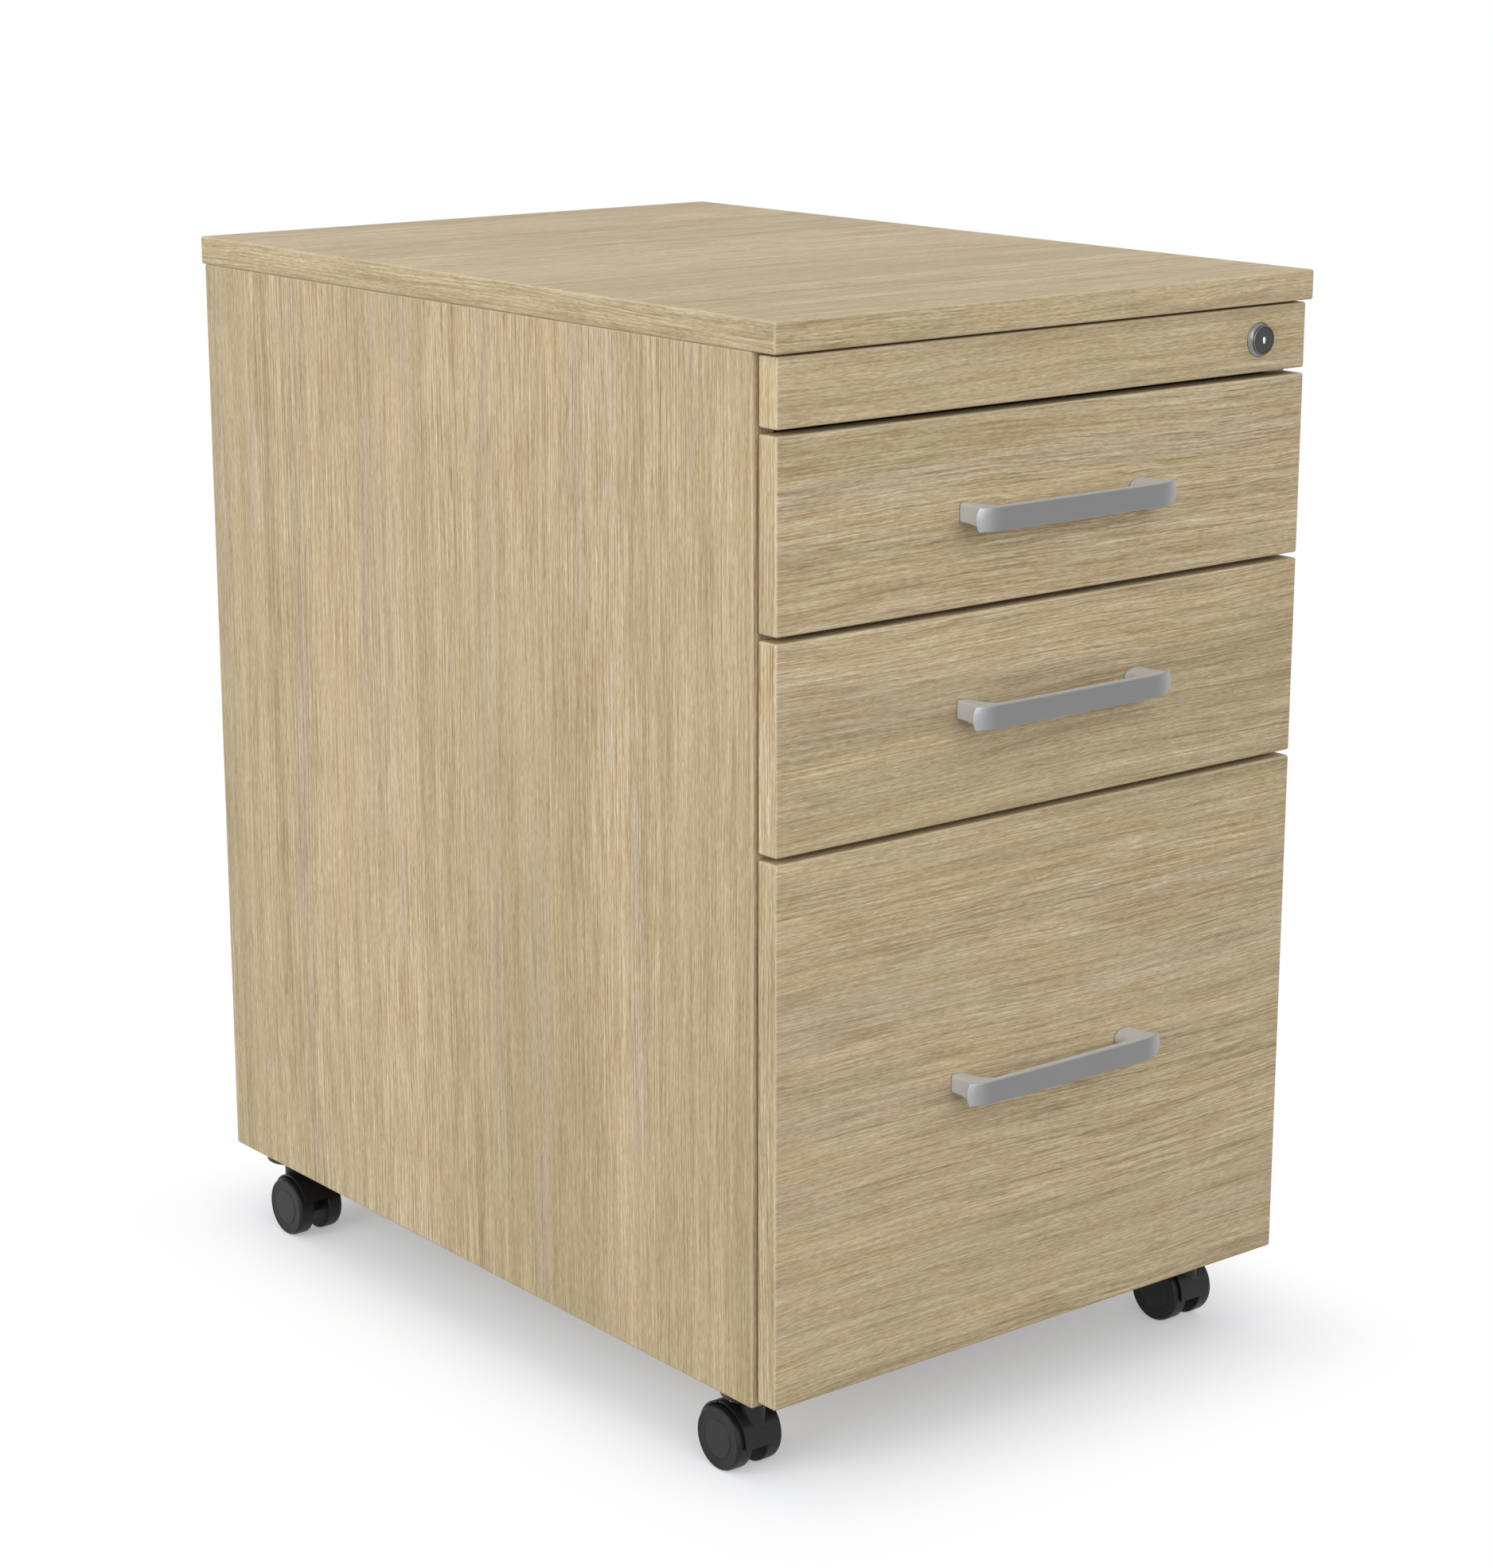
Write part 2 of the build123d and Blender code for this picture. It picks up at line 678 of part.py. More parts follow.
def make_castor_hood():
    """The moulded hood: an arched cover over both wheels, a web between them and a stem socket."""
    axle = Pos(0, castor_trail, wheel_radius)
    crown = hood_radius + hood_wall
    boss = castor_boss_diameter / 2
    front = extrude(Plane.YZ * ring_sector(hood_radius, crown, hood_step_angle, hood_front_angle),
                    amount=hood_half_width, both=True)
    back = extrude(Plane.YZ * ring_sector(hood_radius, crown, hood_back_angle, hood_step_angle),
                   amount=hood_back_half_width, both=True)
    web_arch = ring_sector(axle_diameter, hood_radius + hood_wall / 2, hood_back_angle, hood_front_angle)
    web = extrude(Plane.YZ * (web_arch + Circle(boss)), amount=castor_web / 2, both=True)
    stem_top = plate_z - swivel_play
    stem = rod((0, 0, wheel_radius), (0, 0, 1), stem_diameter, stem_top - wheel_radius)
    wheel_spaces = [axle * rod((sign * castor_web / 2, 0, 0), (sign, 0, 0), 2 * hood_radius, wheel_outer)
                    for sign in sides.values()]
    socket = rod((0, 0, stem_top), (0, 0, -1), castor_pin_diameter + 2 * running_play, castor_pin_length)
    axle_bore = axle * rod((-wheel_outer, 0, 0), (1, 0, 0), axle_diameter + 2 * hole_play, 2 * wheel_outer)
    return axle * (front + back + web) + (stem - wheel_spaces) - [socket, axle_bore]


def make_castor_wheel(hand):
    """A wheel with a bevelled tread and a blind bore for the axle, on one hand of the castor."""
    bore = axle_diameter / 2 + running_play
    bore_end = wheel_outer - hub_depth
    outline = [
        (wheel_inner, bore), (wheel_inner, wheel_radius), (wheel_outer - wheel_shoulder, wheel_radius),
        (wheel_outer, wheel_radius - wheel_chamfer), (wheel_outer, 0), (bore_end, 0), (bore_end, bore),
    ]
    section = make_face(Polyline(*[(hand * x, radius) for x, radius in outline], close=True))
    return revolve(section, Axis.X)


def make_castor_axle(x, y):
    half = wheel_outer - hub_depth - swivel_play
    return rod((x - half, y, wheel_radius), (1, 0, 0), axle_diameter, 2 * half)


def make_castor_plate(x, y):
    plate = rod((x, y, plate_z), (0, 0, 1), plate_diameter, plate_thickness)
    pin_hole = rod((x, y, plate_z), (0, 0, 1), castor_pin_diameter + 2 * hole_play, plate_thickness)
    holes = [screw_hole((at[0], at[1], plate_z - screw_head_height), way) for at, way in castor_screws]
    return plate - pin_hole - holes


def make_castor_pin(x, y):
    length = castor_pin_length - swivel_play - running_play + plate_thickness
    return rod((x, y, carcass_bottom_z), (0, 0, -1), castor_pin_diameter, length)


os.makedirs("parts", exist_ok=True)

# Carcass
save("top_panel", make_top_panel())
save("bottom_panel", make_bottom_panel())
save("back_panel", make_back_panel())
save("lock_rail", make_lock_rail())
for side in sides:
    save(f"{side}_side_panel", make_side_panel(side))
save("rail_brackets", [make_rail_bracket(x) for x in bracket_xs])
all_screws = bracket_top_screws + bracket_rail_screws + guide_screws + castor_screws
for side in sides:
    all_screws += runner_screws[side]
save("panel_screws", [screw(*each) for each in all_screws])
save("panel_dowels", [
    shank(start, way, dowel_diameter, dowel_length - runner_play)
    for side in sides for start, way in side_dowels[side] + top_dowels[side]
])
save("cam_discs", [cam_disc(*each) for each in cam_seats])
save("cam_bolts", [cam_bolt(*each) for each in cam_seats])

# Lock
save("lock_body", make_lock_body())
save("lock_nut", make_lock_nut())
save("lock_plug", make_lock_plug())
save("lock_crank", make_lock_crank())
save("locking_bar", make_locking_bar())
save("locking_bar_guides", [make_bar_guide(z) for z in guide_zs])

# Drawers and their runners
for drawer in drawers:
    save(f"{drawer.name}_runner_channels", make_channels(drawer))
    carriers = make_runner(drawer, carrier_web, carrier_tip, carrier_half, runner_length)
    save(f"{drawer.name}_runner_carriers", carriers)
    slides = make_runner(drawer, runner_gap, slide_tip, slide_half, runner_length)
    save(f"{drawer.name}_drawer_slides", slides)
    save(f"{drawer.name}_drawer_front", make_drawer_front(drawer))
    save(f"{drawer.name}_drawer_box", make_drawer_box(drawer))
    save(f"{drawer.name}_drawer_screws", make_drawer_screws(drawer))
    save(f"{drawer.name}_handle", make_handle(drawer))
    save(f"{drawer.name}_lock_catch", make_lock_catch(drawer))
save("file_rails", make_file_rails(drawers[0]))

# Castors
hood = make_castor_hood()
save("castor_plates", [make_castor_plate(*each) for each in stems])
save("castor_pins", [make_castor_pin(*each) for each in stems])
for end, (stem_y, turn) in castor_places.items():
    axle_y = stem_y + turn * castor_trail
    heading = Rot(0, 0, 0 if turn > 0 else 180)
    for side, castor_x in castor_xs.items():
        name = f"{end}_{side}_castor"
        save(f"{name}_hood", Pos(castor_x, stem_y, 0) * heading * hood)
        save(f"{name}_axle", make_castor_axle(castor_x, axle_y))
        for wheel_side, wheel_sign in sides.items():
            wheel = Pos(castor_x, axle_y, wheel_radius) * make_castor_wheel(wheel_sign)
            save(f"{name}_{wheel_side}_wheel", wheel)
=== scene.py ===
"""Finishes for a mobile drawer pedestal: laminate boards, cast handles, lock, castors and stage.

Everything is in metres, in the frame's own axes: +Z is up and the drawer fronts face -Y.
"""
import json
import math

import bmesh
import bpy
import numpy as np
from bpy.props import FloatProperty, FloatVectorProperty, IntProperty, PointerProperty
from bpy.types import Operator, Panel, PropertyGroup
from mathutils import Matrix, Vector


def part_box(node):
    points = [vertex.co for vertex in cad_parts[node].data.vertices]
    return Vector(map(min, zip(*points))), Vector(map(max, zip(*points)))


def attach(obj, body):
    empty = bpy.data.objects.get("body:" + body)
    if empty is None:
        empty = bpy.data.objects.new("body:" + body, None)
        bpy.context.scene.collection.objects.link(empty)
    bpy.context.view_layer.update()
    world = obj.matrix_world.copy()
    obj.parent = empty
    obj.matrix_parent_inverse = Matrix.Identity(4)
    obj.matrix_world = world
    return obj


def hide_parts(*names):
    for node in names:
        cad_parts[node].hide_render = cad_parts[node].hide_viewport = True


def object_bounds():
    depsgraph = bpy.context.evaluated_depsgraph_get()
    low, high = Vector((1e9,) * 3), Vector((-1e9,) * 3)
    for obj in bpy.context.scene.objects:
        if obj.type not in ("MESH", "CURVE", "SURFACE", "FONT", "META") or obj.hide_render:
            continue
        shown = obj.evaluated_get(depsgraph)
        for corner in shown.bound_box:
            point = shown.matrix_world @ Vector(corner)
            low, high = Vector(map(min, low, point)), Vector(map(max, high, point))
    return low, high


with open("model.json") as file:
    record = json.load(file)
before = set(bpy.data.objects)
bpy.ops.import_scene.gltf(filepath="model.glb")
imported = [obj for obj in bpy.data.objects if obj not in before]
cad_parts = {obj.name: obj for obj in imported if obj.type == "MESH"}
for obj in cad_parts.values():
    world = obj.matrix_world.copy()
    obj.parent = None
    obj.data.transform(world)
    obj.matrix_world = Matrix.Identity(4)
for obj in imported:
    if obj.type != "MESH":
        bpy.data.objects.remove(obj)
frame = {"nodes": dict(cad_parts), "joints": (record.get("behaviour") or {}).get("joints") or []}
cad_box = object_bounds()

bl_info = {
    "name": "Drawer pedestal finishes",
    "version": (1, 0, 0),
    "blender": (4, 5, 0),
    "location": "View3D > Sidebar > Pedestal",
    "description": "Dresses the packed frame of a mobile drawer pedestal",
    "category": "Object",
}

LEVELS = ("upper", "middle", "lower")
CORNERS = [f"{end}_{side}_castor" for end in ("front", "rear") for side in ("left", "right")]
X, Y, Z = 0, 1, 2
MM = 0.001
# Points closer than this are one point
SAME_POINT = 0.001 * MM


# Settings that a user would change
def size_property(name, description, default):
    """A length in metres."""
    return FloatProperty(name=name, description=description, default=default, precision=5,
                         unit="LENGTH")


def share_property(name, description, default):
    """A number from 0 to 1."""
    return FloatProperty(name=name, description=description, default=default, min=0, max=1,
                         subtype="FACTOR")


def colour_property(name, description, default):
    """A linear colour."""
    return FloatVectorProperty(name=name, description=description, default=default, min=0, max=1,
                               subtype="COLOR")


def place_property(name, description, default):
    """A point in metres."""
    return FloatVectorProperty(name=name, description=description, default=default, unit="LENGTH")


class BoardSettings(PropertyGroup):
    """Laminate boards and their printed grain."""
    edge_radius: size_property("Edge radius", "Rounding of the taped edges", 1.5 * MM)
    edge_steps: IntProperty(name="Edge steps", description="Facets in half of a rounding", default=4, min=1)
    tan: colour_property("Tan", "Main colour of the print", (0.545, 0.433, 0.270))
    straw: colour_property("Straw", "Paler bands", (0.640, 0.521, 0.340))
    olive: colour_property("Olive", "Duller bands", (0.445, 0.358, 0.210))
    lilac: colour_property("Grey lilac", "Greyed bands", (0.500, 0.407, 0.305))
    brown: colour_property("Brown", "Pores and thin dark lines", (0.235, 0.169, 0.085))
    lime: colour_property("Limed", "Whitened streaks", (0.690, 0.608, 0.463))
    # Paler eased edges are a painted highlight
    edge_highlight: share_property("Edge highlight", "How much paler the eased edges are", 0.30)
    roughness: share_property("Roughness", "Dullness of the laminate", 0.56)


class HandleSettings(PropertyGroup):
    """Cast bow handles."""
    grip: size_property("Grip thickness", "Thickness of the grip bar", 5.2 * MM)
    corner: size_property("Corner", "Rounding along the grip bar", 0.9 * MM)
    end_reach: size_property("End reach", "Length over which an end sweeps back", 17.0 * MM)
    end_sweep: size_property("End sweep", "How far an end sweeps back", 4.0 * MM)
    end_bulge: size_property("End bulge", "How far an end swells in the middle of its height", 2.2 * MM)
    spacing: size_property("Screw spacing", "Distance between the two feet", 128 * MM)
    foot_height: size_property("Foot height", "Height of a foot", 11.3 * MM)
    foot_outer: size_property("Foot outside", "From the screw to the outer face of a foot", 9.5 * MM)
    foot_inner: size_property("Foot inside", "From the screw to the round side of a foot", 4.0 * MM)
    hollow: size_property("Hollow", "How far the outer face of a leg is hollowed", 0.5 * MM)
    flare_outer: size_property("Flare outside", "From the screw to a leg's outside at the bar", 13.3 * MM)
    flare_inner: size_property("Flare inside", "From the screw to a leg's inside at the bar", 26 * MM)
    # Brushed and cast differ partly as finishes, and partly as painted shade on the front and painted
    # highlights elsewhere
    brushed: colour_property("Brushed", "Metal of the brushed front face", (0.252, 0.252, 0.254))
    cast: colour_property("Cast", "Lacquered metal of the sides and legs", (0.575, 0.588, 0.608))
    roughness: share_property("Roughness", "Dullness of the metal", 0.38)


class LockSettings(PropertyGroup):
    """Cam lock in the rail."""
    flange: size_property("Flange", "Diameter of the flange", 21 * MM)
    nose: size_property("Nose", "Diameter of the raised nose", 17.4 * MM)
    barrel: size_property("Barrel", "Diameter of the barrel in the rail", 18.6 * MM)
    rim: size_property("Rim", "Height of the flange's rim", 0.6 * MM)
    bevel: size_property("Bevel", "Height of the flange's bevel", 1.3 * MM)
    bead: size_property("Bead", "Rounding of the nose's front edge", 0.35 * MM)
    keyhole_width: size_property("Keyhole width", "Width of the bright keyhole", 2.3 * MM)
    keyhole_height: size_property("Keyhole height", "Height of the bright keyhole", 4.2 * MM)
    nickel: colour_property("Nickel", "Plated metal", (0.25, 0.25, 0.262))
    bright: colour_property("Keyhole", "Polished metal of the keyhole", (0.85, 0.85, 0.85))
    face: colour_property("Face", "Dark face of the plug", (0.056, 0.056, 0.0565))


class CastorSettings(PropertyGroup):
    """Twin-wheel castors."""
    shoulder: size_property("Shoulder", "Width of the tread's rounded shoulder", 3.0 * MM)
    drop: size_property("Drop", "How much smaller the outer face is than the tread", 1.7 * MM)
    disc: size_property("Disc", "Radius of the raised hub disc", 11.8 * MM)
    bead: size_property("Bead", "Width of the raised lines on the outer face", 0.5 * MM)
    bore: size_property("Bore", "Radius of the axle bore", 3.05 * MM)
    hood_edge: size_property("Hood edge", "Rounding of the hood's edges", 0.35 * MM)
    hood_black: colour_property("Hood", "Moulded black plastic", (0.012, 0.012, 0.0125))
    tread_black: colour_property("Tread", "Plastic of the tread", (0.008, 0.008, 0.0083))
    disc_black: colour_property("Hub disc", "Plastic of the hub disc", (0.017, 0.017, 0.0175))


class SteelSettings(PropertyGroup):
    """Drawer boxes, runners and small fittings."""
    enamel: colour_property("Enamel", "Powder coat of the drawer boxes", (0.42, 0.43, 0.44))
    zinc: colour_property("Zinc", "Plated steel", (0.52, 0.53, 0.55))
    beech: colour_property("Beech", "Wood of the dowels", (0.55, 0.36, 0.19))


class StageSettings(PropertyGroup):
    """Floor, lamps and camera."""
    camera: place_property("Camera", "Place of the camera", (-1.4011, -1.7516, 0.9124))
    target: place_property("Target", "Point that the camera looks at", (0.0068, 0.0058, 0.3384))
    lens: FloatProperty(name="Lens", description="Focal length in millimetres", default=81.41)
    sky: FloatProperty(name="Sky", description="Strength of the even light from all round", default=0.72)
    key: FloatProperty(name="Key", description="Power of the lamp at the left", default=36.0, unit="POWER")
    fill: FloatProperty(name="Fill", description="Power of the lamp in front", default=27.0, unit="POWER")
    key_place: place_property("Key place", "Place of the lamp at the left", (-2.7, -0.2, 1.35))
    fill_place: place_property("Fill place", "Place of the lamp in front", (-0.8, -2.9, 1.6))
    lamp_aim: place_property("Lamp aim", "Point that both lamps face", (0, 0, 0.35))
    lamp_size: size_property("Lamp size", "Diameter of both lamps", 2.4)
    floor: colour_property("Floor", "Colour of the floor", (0.33, 0.33, 0.33))
    shadow: share_property("Shadow", "How dark the object's shadow on the floor can get", 0.70)
    inset: size_property("Inset", "How far inside the footprint the floor starts to fade", 0.02)
    fade: size_property("Fade", "Length over which the floor fades into the white surround", 0.115)


# Meshes
def node_box(node):
    """The lowest and the highest corner of a CAD node."""
    low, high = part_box(node)
    return np.array(low), np.array(high)


def grid_faces(rows, columns):
    """Quads between neighbouring rows and columns of a grid of points."""
    row = np.arange(rows - 1)[:, None]
    column = np.arange(columns - 1)[None, :]
    first = row * columns + column
    return np.stack([first, first + 1, first + columns + 1, first + columns], -1).reshape(-1, 4)


def join_patches(patches):
    """One set of points, faces, grain coordinates and edge shares from several patches of them."""
    points, faces, grain, edge = zip(*patches)
    starts = np.cumsum([0] + [len(each) for each in points[:-1]])
    faces = [each + start for each, start in zip(faces, starts)]
    return [np.concatenate(each) for each in (points, faces, grain, edge)]


def grid_patch(points, edge=0.0):
    """A patch from a grid of points and its edge shares, with its grain coordinates left at zero."""
    rows, columns, _ = points.shape
    flat = points.reshape(-1, 3)
    shares = np.broadcast_to(edge, (rows, columns)).ravel()
    return flat, grid_faces(rows, columns), np.zeros((len(flat), 2)), shares


def make_piece(name, patches, body, nodes, material):
    """A closed piece: its patches are welded, turned outwards, and shaded by their larger faces."""
    points, faces, grain, edge = join_patches(patches)
    mesh = bpy.data.meshes.new(name)
    mesh.from_pydata(points.tolist(), [], faces.tolist())
    layer = mesh.uv_layers.new(name="grain")
    corners = np.empty(len(mesh.loops), dtype=np.int32)
    mesh.loops.foreach_get("vertex_index", corners)
    layer.data.foreach_set("uv", grain[corners].astype(np.float32).ravel())
    share = mesh.attributes.new("edge", "FLOAT", "POINT")
    share.data.foreach_set("value", edge.astype(np.float32))
    weld(mesh)
    return add_piece(name, mesh, body, nodes, material)


def weld(mesh):
    """Merges a mesh's doubled points, turns its faces outwards and makes them smooth."""
    shape = bmesh.new()
    shape.from_mesh(mesh)
    bmesh.ops.remove_doubles(shape, verts=shape.verts, dist=SAME_POINT)
    bmesh.ops.recalc_face_normals(shape, faces=shape.faces)
    for face in shape.faces:
        face.smooth = True
    shape.to_mesh(mesh)
    shape.free()


def add_piece(name, mesh, body, nodes, material):
    """Links a mesh as a piece that rides on a body, stands for CAD nodes and has a slot's finish."""
    piece = bpy.data.objects.new(name, mesh)
    bpy.context.scene.collection.objects.link(piece)
    mesh.materials.clear()
    mesh.materials.append(material)
    shading = piece.modifiers.new("larger faces", "WEIGHTED_NORMAL")
    shading.keep_sharp = True
    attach(piece, body)
    if nodes:
        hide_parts(*nodes)
    return piece


def bevelled_copy(name, node, body, material, width, steps):
    """A CAD node's own shape, its triangles joined into flats and its sharp edges rounded."""
    flat_angle, sharp_angle = math.radians(0.5), math.radians(35)
    mesh = frame["nodes"][node].data.copy()
    shape = bmesh.new()
    shape.from_mesh(mesh)
    bmesh.ops.remove_doubles(shape, verts=shape.verts, dist=SAME_POINT)
    bmesh.ops.dissolve_limit(shape, angle_limit=flat_angle, verts=shape.verts, edges=shape.edges)
    for face in shape.faces:
        face.smooth = True
    shape.to_mesh(mesh)
    shape.free()
    piece = add_piece(name, mesh, body, [node], material)
    bevel = piece.modifiers.new("eased edges", "BEVEL")
    bevel.width = width
    bevel.segments = steps
    bevel.limit_method = "ANGLE"
    bevel.angle_limit = sharp_angle
    piece.modifiers.move(len(piece.modifiers) - 1, 0)
    return piece


def paint(nodes, material):
    """Puts a material on CAD nodes that are shown as they are."""
    for node in nodes:
        piece = frame["nodes"][node]
        if not piece.material_slots:
            piece.data.materials.append(material)
        for place in piece.material_slots:
            place.material = material


def arc(centre, radius, start, end, steps):
    """Points of a circle's arc, from one angle to another in degrees, as pairs."""
    angle = np.radians(np.linspace(start, end, steps + 1))
    return np.stack([centre[0] + radius * np.cos(angle), centre[1] + radius * np.sin(angle)], -1)


def turned(profile, axis, centre, sides, edge=0.0):
    """A profile turned full circle about an axis through a point.

    The profile has pairs of distance along the axis and radius. The edge shares are one number, or one
    for each pair.
    """
    angle = np.linspace(0, 2 * math.pi, sides + 1)
    across, up = [other for other in (X, Y, Z) if other != axis]
    points = np.empty((len(profile), sides + 1, 3))
    points[..., axis] = profile[:, :1]
    points[..., across] = profile[:, 1:] * np.cos(angle)
    points[..., up] = profile[:, 1:] * np.sin(angle)
    return grid_patch(points + np.array(centre), np.reshape(edge, (-1, 1)))


# Materials
class Wire:
    """One socket of a material's nodes. Arithmetic on it adds Math nodes."""

    # A Mix node's colour sockets, by number because several sockets share a name
    FACTOR, FIRST, SECOND, RESULT = 0, 6, 7, 2

    def __init__(self, tree, socket=None):
        self.tree = tree
        self.socket = socket

    def node(self, kind, settings=None, sockets=None, output=0):
        """Adds a node, makes its settings, then fills its sockets, and gives one of its outputs."""
        node = self.tree.nodes.new(kind)
        for name, value in (settings or {}).items():
            setattr(node, name, value)
        for key, value in (sockets or {}).items():
            if isinstance(value, Wire):
                self.tree.links.new(value.socket, node.inputs[key])
            else:
                node.inputs[key].default_value = value
        return Wire(self.tree, node.outputs[output])

    def maths(self, operation, first, second):
        """One Math node on two wires or numbers."""
        return self.node("ShaderNodeMath", {"operation": operation}, {0: first, 1: second})

    def __add__(self, other):
        return self.maths("ADD", self, other)

    def __radd__(self, other):
        return self.maths("ADD", other, self)

    def __sub__(self, other):
        return self.maths("SUBTRACT", self, other)

    def __rsub__(self, other):
        return self.maths("SUBTRACT", other, self)

    def __mul__(self, other):
        return self.maths("MULTIPLY", self, other)

    def __rmul__(self, other):
        return self.maths("MULTIPLY", other, self)

    def step(self, low, high):
        """0 below one value, 1 above the other, and smooth between."""
        return self.node("ShaderNodeMapRange", {"interpolation_type": "SMOOTHSTEP"},
                         {"Value": self, "From Min": low, "From Max": high})

    def between(self, first, second):
        """A colour that goes from the first to the second as this value goes from 0 to 1."""
        first, second = (each if isinstance(each, Wire) else (*each, 1) for each in (first, second))
        return self.node("ShaderNodeMix", {"data_type": "RGBA"},
                         {self.FACTOR: self, self.FIRST: first, self.SECOND: second}, self.RESULT)

    def tint(self, colour):
        """A colour times this value or colour."""
        colour = colour if isinstance(colour, Wire) else (*colour, 1)
        return self.node("ShaderNodeMix", {"data_type": "RGBA", "blend_type": "MULTIPLY"},
                         {self.FACTOR: 1.0, self.FIRST: colour, self.SECOND: self}, self.RESULT)

    def noise(self, along, across, third, detail=2.0, roughness=0.5):
        """Soft noise over three coordinates. Where the third is a number, it only tells layers apart."""
        place = self.node("ShaderNodeCombineXYZ", None, {0: along, 1: across, 2: third})
        return self.node("ShaderNodeTexNoise", None,
                         {"Vector": place, "Scale": 1.0, "Detail": detail, "Roughness": roughness})


def new_finish(name, **constants):
    """A material with a Principled shader whose plain sockets are set, and its first wire."""
    material = bpy.data.materials.new(name)
    material.use_nodes = True
    tree = material.node_tree
    shader = tree.nodes["Principled BSDF"]
    for socket, value in constants.items():
        shader.inputs[socket.replace("_", " ")].default_value = value
    return material, shader, Wire(tree)


def plug(shader, socket, wire):
    """Links a wire to one of the shader's sockets."""
    shader.id_data.links.new(wire.socket, shader.inputs[socket])


def bump(shader, start, height, distance, strength):
    """Feeds the shader's normal from a height."""
    sockets = {"Height": height, "Distance": distance, "Strength": strength}
    plug(shader, "Normal", start.node("ShaderNodeBump", None, sockets))


def edge_share(start):
    """The edge share that a piece's mesh keeps for each point."""
    return start.node("ShaderNodeAttribute", {"attribute_name": "edge"}, None, "Fac")


def object_place(start):
    """The Object coordinates of a piece, as one vector and as three wires."""
    place = start.node("ShaderNodeTexCoord", None, None, "Object")
    split = [start.node("ShaderNodeSeparateXYZ", None, {0: place}, axis) for axis in (X, Y, Z)]
    return place, split


def laminate_finish(name, settings, wave):
    """Oak-effect laminate: bands and streaks drawn along the grain map, bent by slow waves.

    The grain map holds metres along and across the grain. Each layer is noise that is stretched along
    the grain, and its two factors are its patches in a metre along and across it. The layers are wide
    tone bands, greyed bands, growth lines, fine light and dark streaks, short pores and limed streaks.
    In some zones, the figure, the grain ripples, and streaks, pores and limed streaks are stronger.
    Light streaks are creamier than the bands that they lie on, and dark ones are browner.
    """
    material, shader, start = new_finish(name, Specular_IOR_Level=0.12)
    grain = start.node("ShaderNodeUVMap", {"uv_map": "grain"})
    along, flat = (start.node("ShaderNodeSeparateXYZ", None, {0: grain}, axis) for axis in (X, Y))

    # How far the waves move the grain sideways, in metres
    slow_reach, quick_reach, ripple_reach = (reach * wave for reach in (0.026, 0.0034, 0.0018))
    slow = start.noise(along * 2.4, flat * 5.0, 0.3, detail=1.0) - 0.5
    quick = start.noise(along * 9.0, flat * 34.0, 3.1) - 0.5
    figure = start.noise(along * 1.6, flat * 11.0, 12.4).step(0.36, 0.64)
    ripple = start.noise(along * 45.0, flat * 90.0, 14.2, detail=1.0) - 0.5
    across = flat + slow * slow_reach + quick * quick_reach + ripple * figure * ripple_reach

    broad = start.noise(along * 0.7, across * 9.0, 1.7).step(0.34, 0.66)
    band = start.noise(along * 1.6, across * 60.0, 5.2, detail=3.0).step(0.34, 0.68)
    grey = start.noise(along * 1.2, across * 38.0, 8.4).step(0.50, 0.70)
    ring = start.noise(along * 2.2, across * 70.0, 13.7) - 0.5
    line = 1.0 - start.maths("ABSOLUTE", ring, 0.0).step(0.0, 0.03)
    hue = start.noise(along * 7.0, across * 150.0, 11.3)
    vein = start.noise(along * 4.0, across * 200.0, 9.5, detail=3.0)
    streak = start.noise(along * 13.0, across * 850.0, 2.9, detail=4.0, roughness=0.7)
    hair = start.noise(along * 200.0, across * 1900.0, 6.6)
    pore = start.noise(along * 42.0, across * 1000.0, 4.1).step(0.58, 0.68)
    patch = start.noise(along * 4.0, across * 30.0, 7.3).step(0.46, 0.62)
    pale = start.noise(along * 16.0, across * 480.0, 0.9, detail=3.0, roughness=0.6).step(0.60, 0.72)

    # Tone bands
    colour = broad.between(settings.olive, settings.tan)
    colour = (band * 0.50).between(colour, settings.straw)
    colour = (grey * 0.40).between(colour, settings.lilac)
    # From warm to cool, and from dark to light, as factors on red, green and blue
    colour = hue.between((1.03, 0.995, 0.96), (0.97, 1.005, 1.04)).tint(colour)
    lively = 0.5 + (streak - 0.5) * (0.76 + 0.74 * figure)
    colour = lively.between((0.36, 0.21, 0.00), (1.64, 1.79, 2.00)).tint(colour)
    colour = hair.between((0.52, 0.42, 0.26), (1.31, 1.41, 1.57)).tint(colour)
    colour = (1.0 + 0.27 * vein).tint(colour)
    # Lines over the bands
    brown = line * 0.22 + pore * (0.10 + 0.26 * patch + 0.18 * figure)
    colour = brown.between(colour, settings.brown)
    limed = pale * patch * (0.30 + 0.45 * figure)
    colour = limed.between(colour, settings.lime)
    # Painted highlight: the eased edges are mixed towards the limed colour
    colour = (edge_share(start) * settings.edge_highlight).between(colour, settings.lime)

    plug(shader, "Base Color", colour)
    plug(shader, "Roughness", settings.roughness - 0.10 + 0.16 * hair + 0.05 * band)
    bump(shader, start, streak * 0.5 + hair * 0.3 - pore * 0.6, 0.12 * MM, 0.5)
    return material


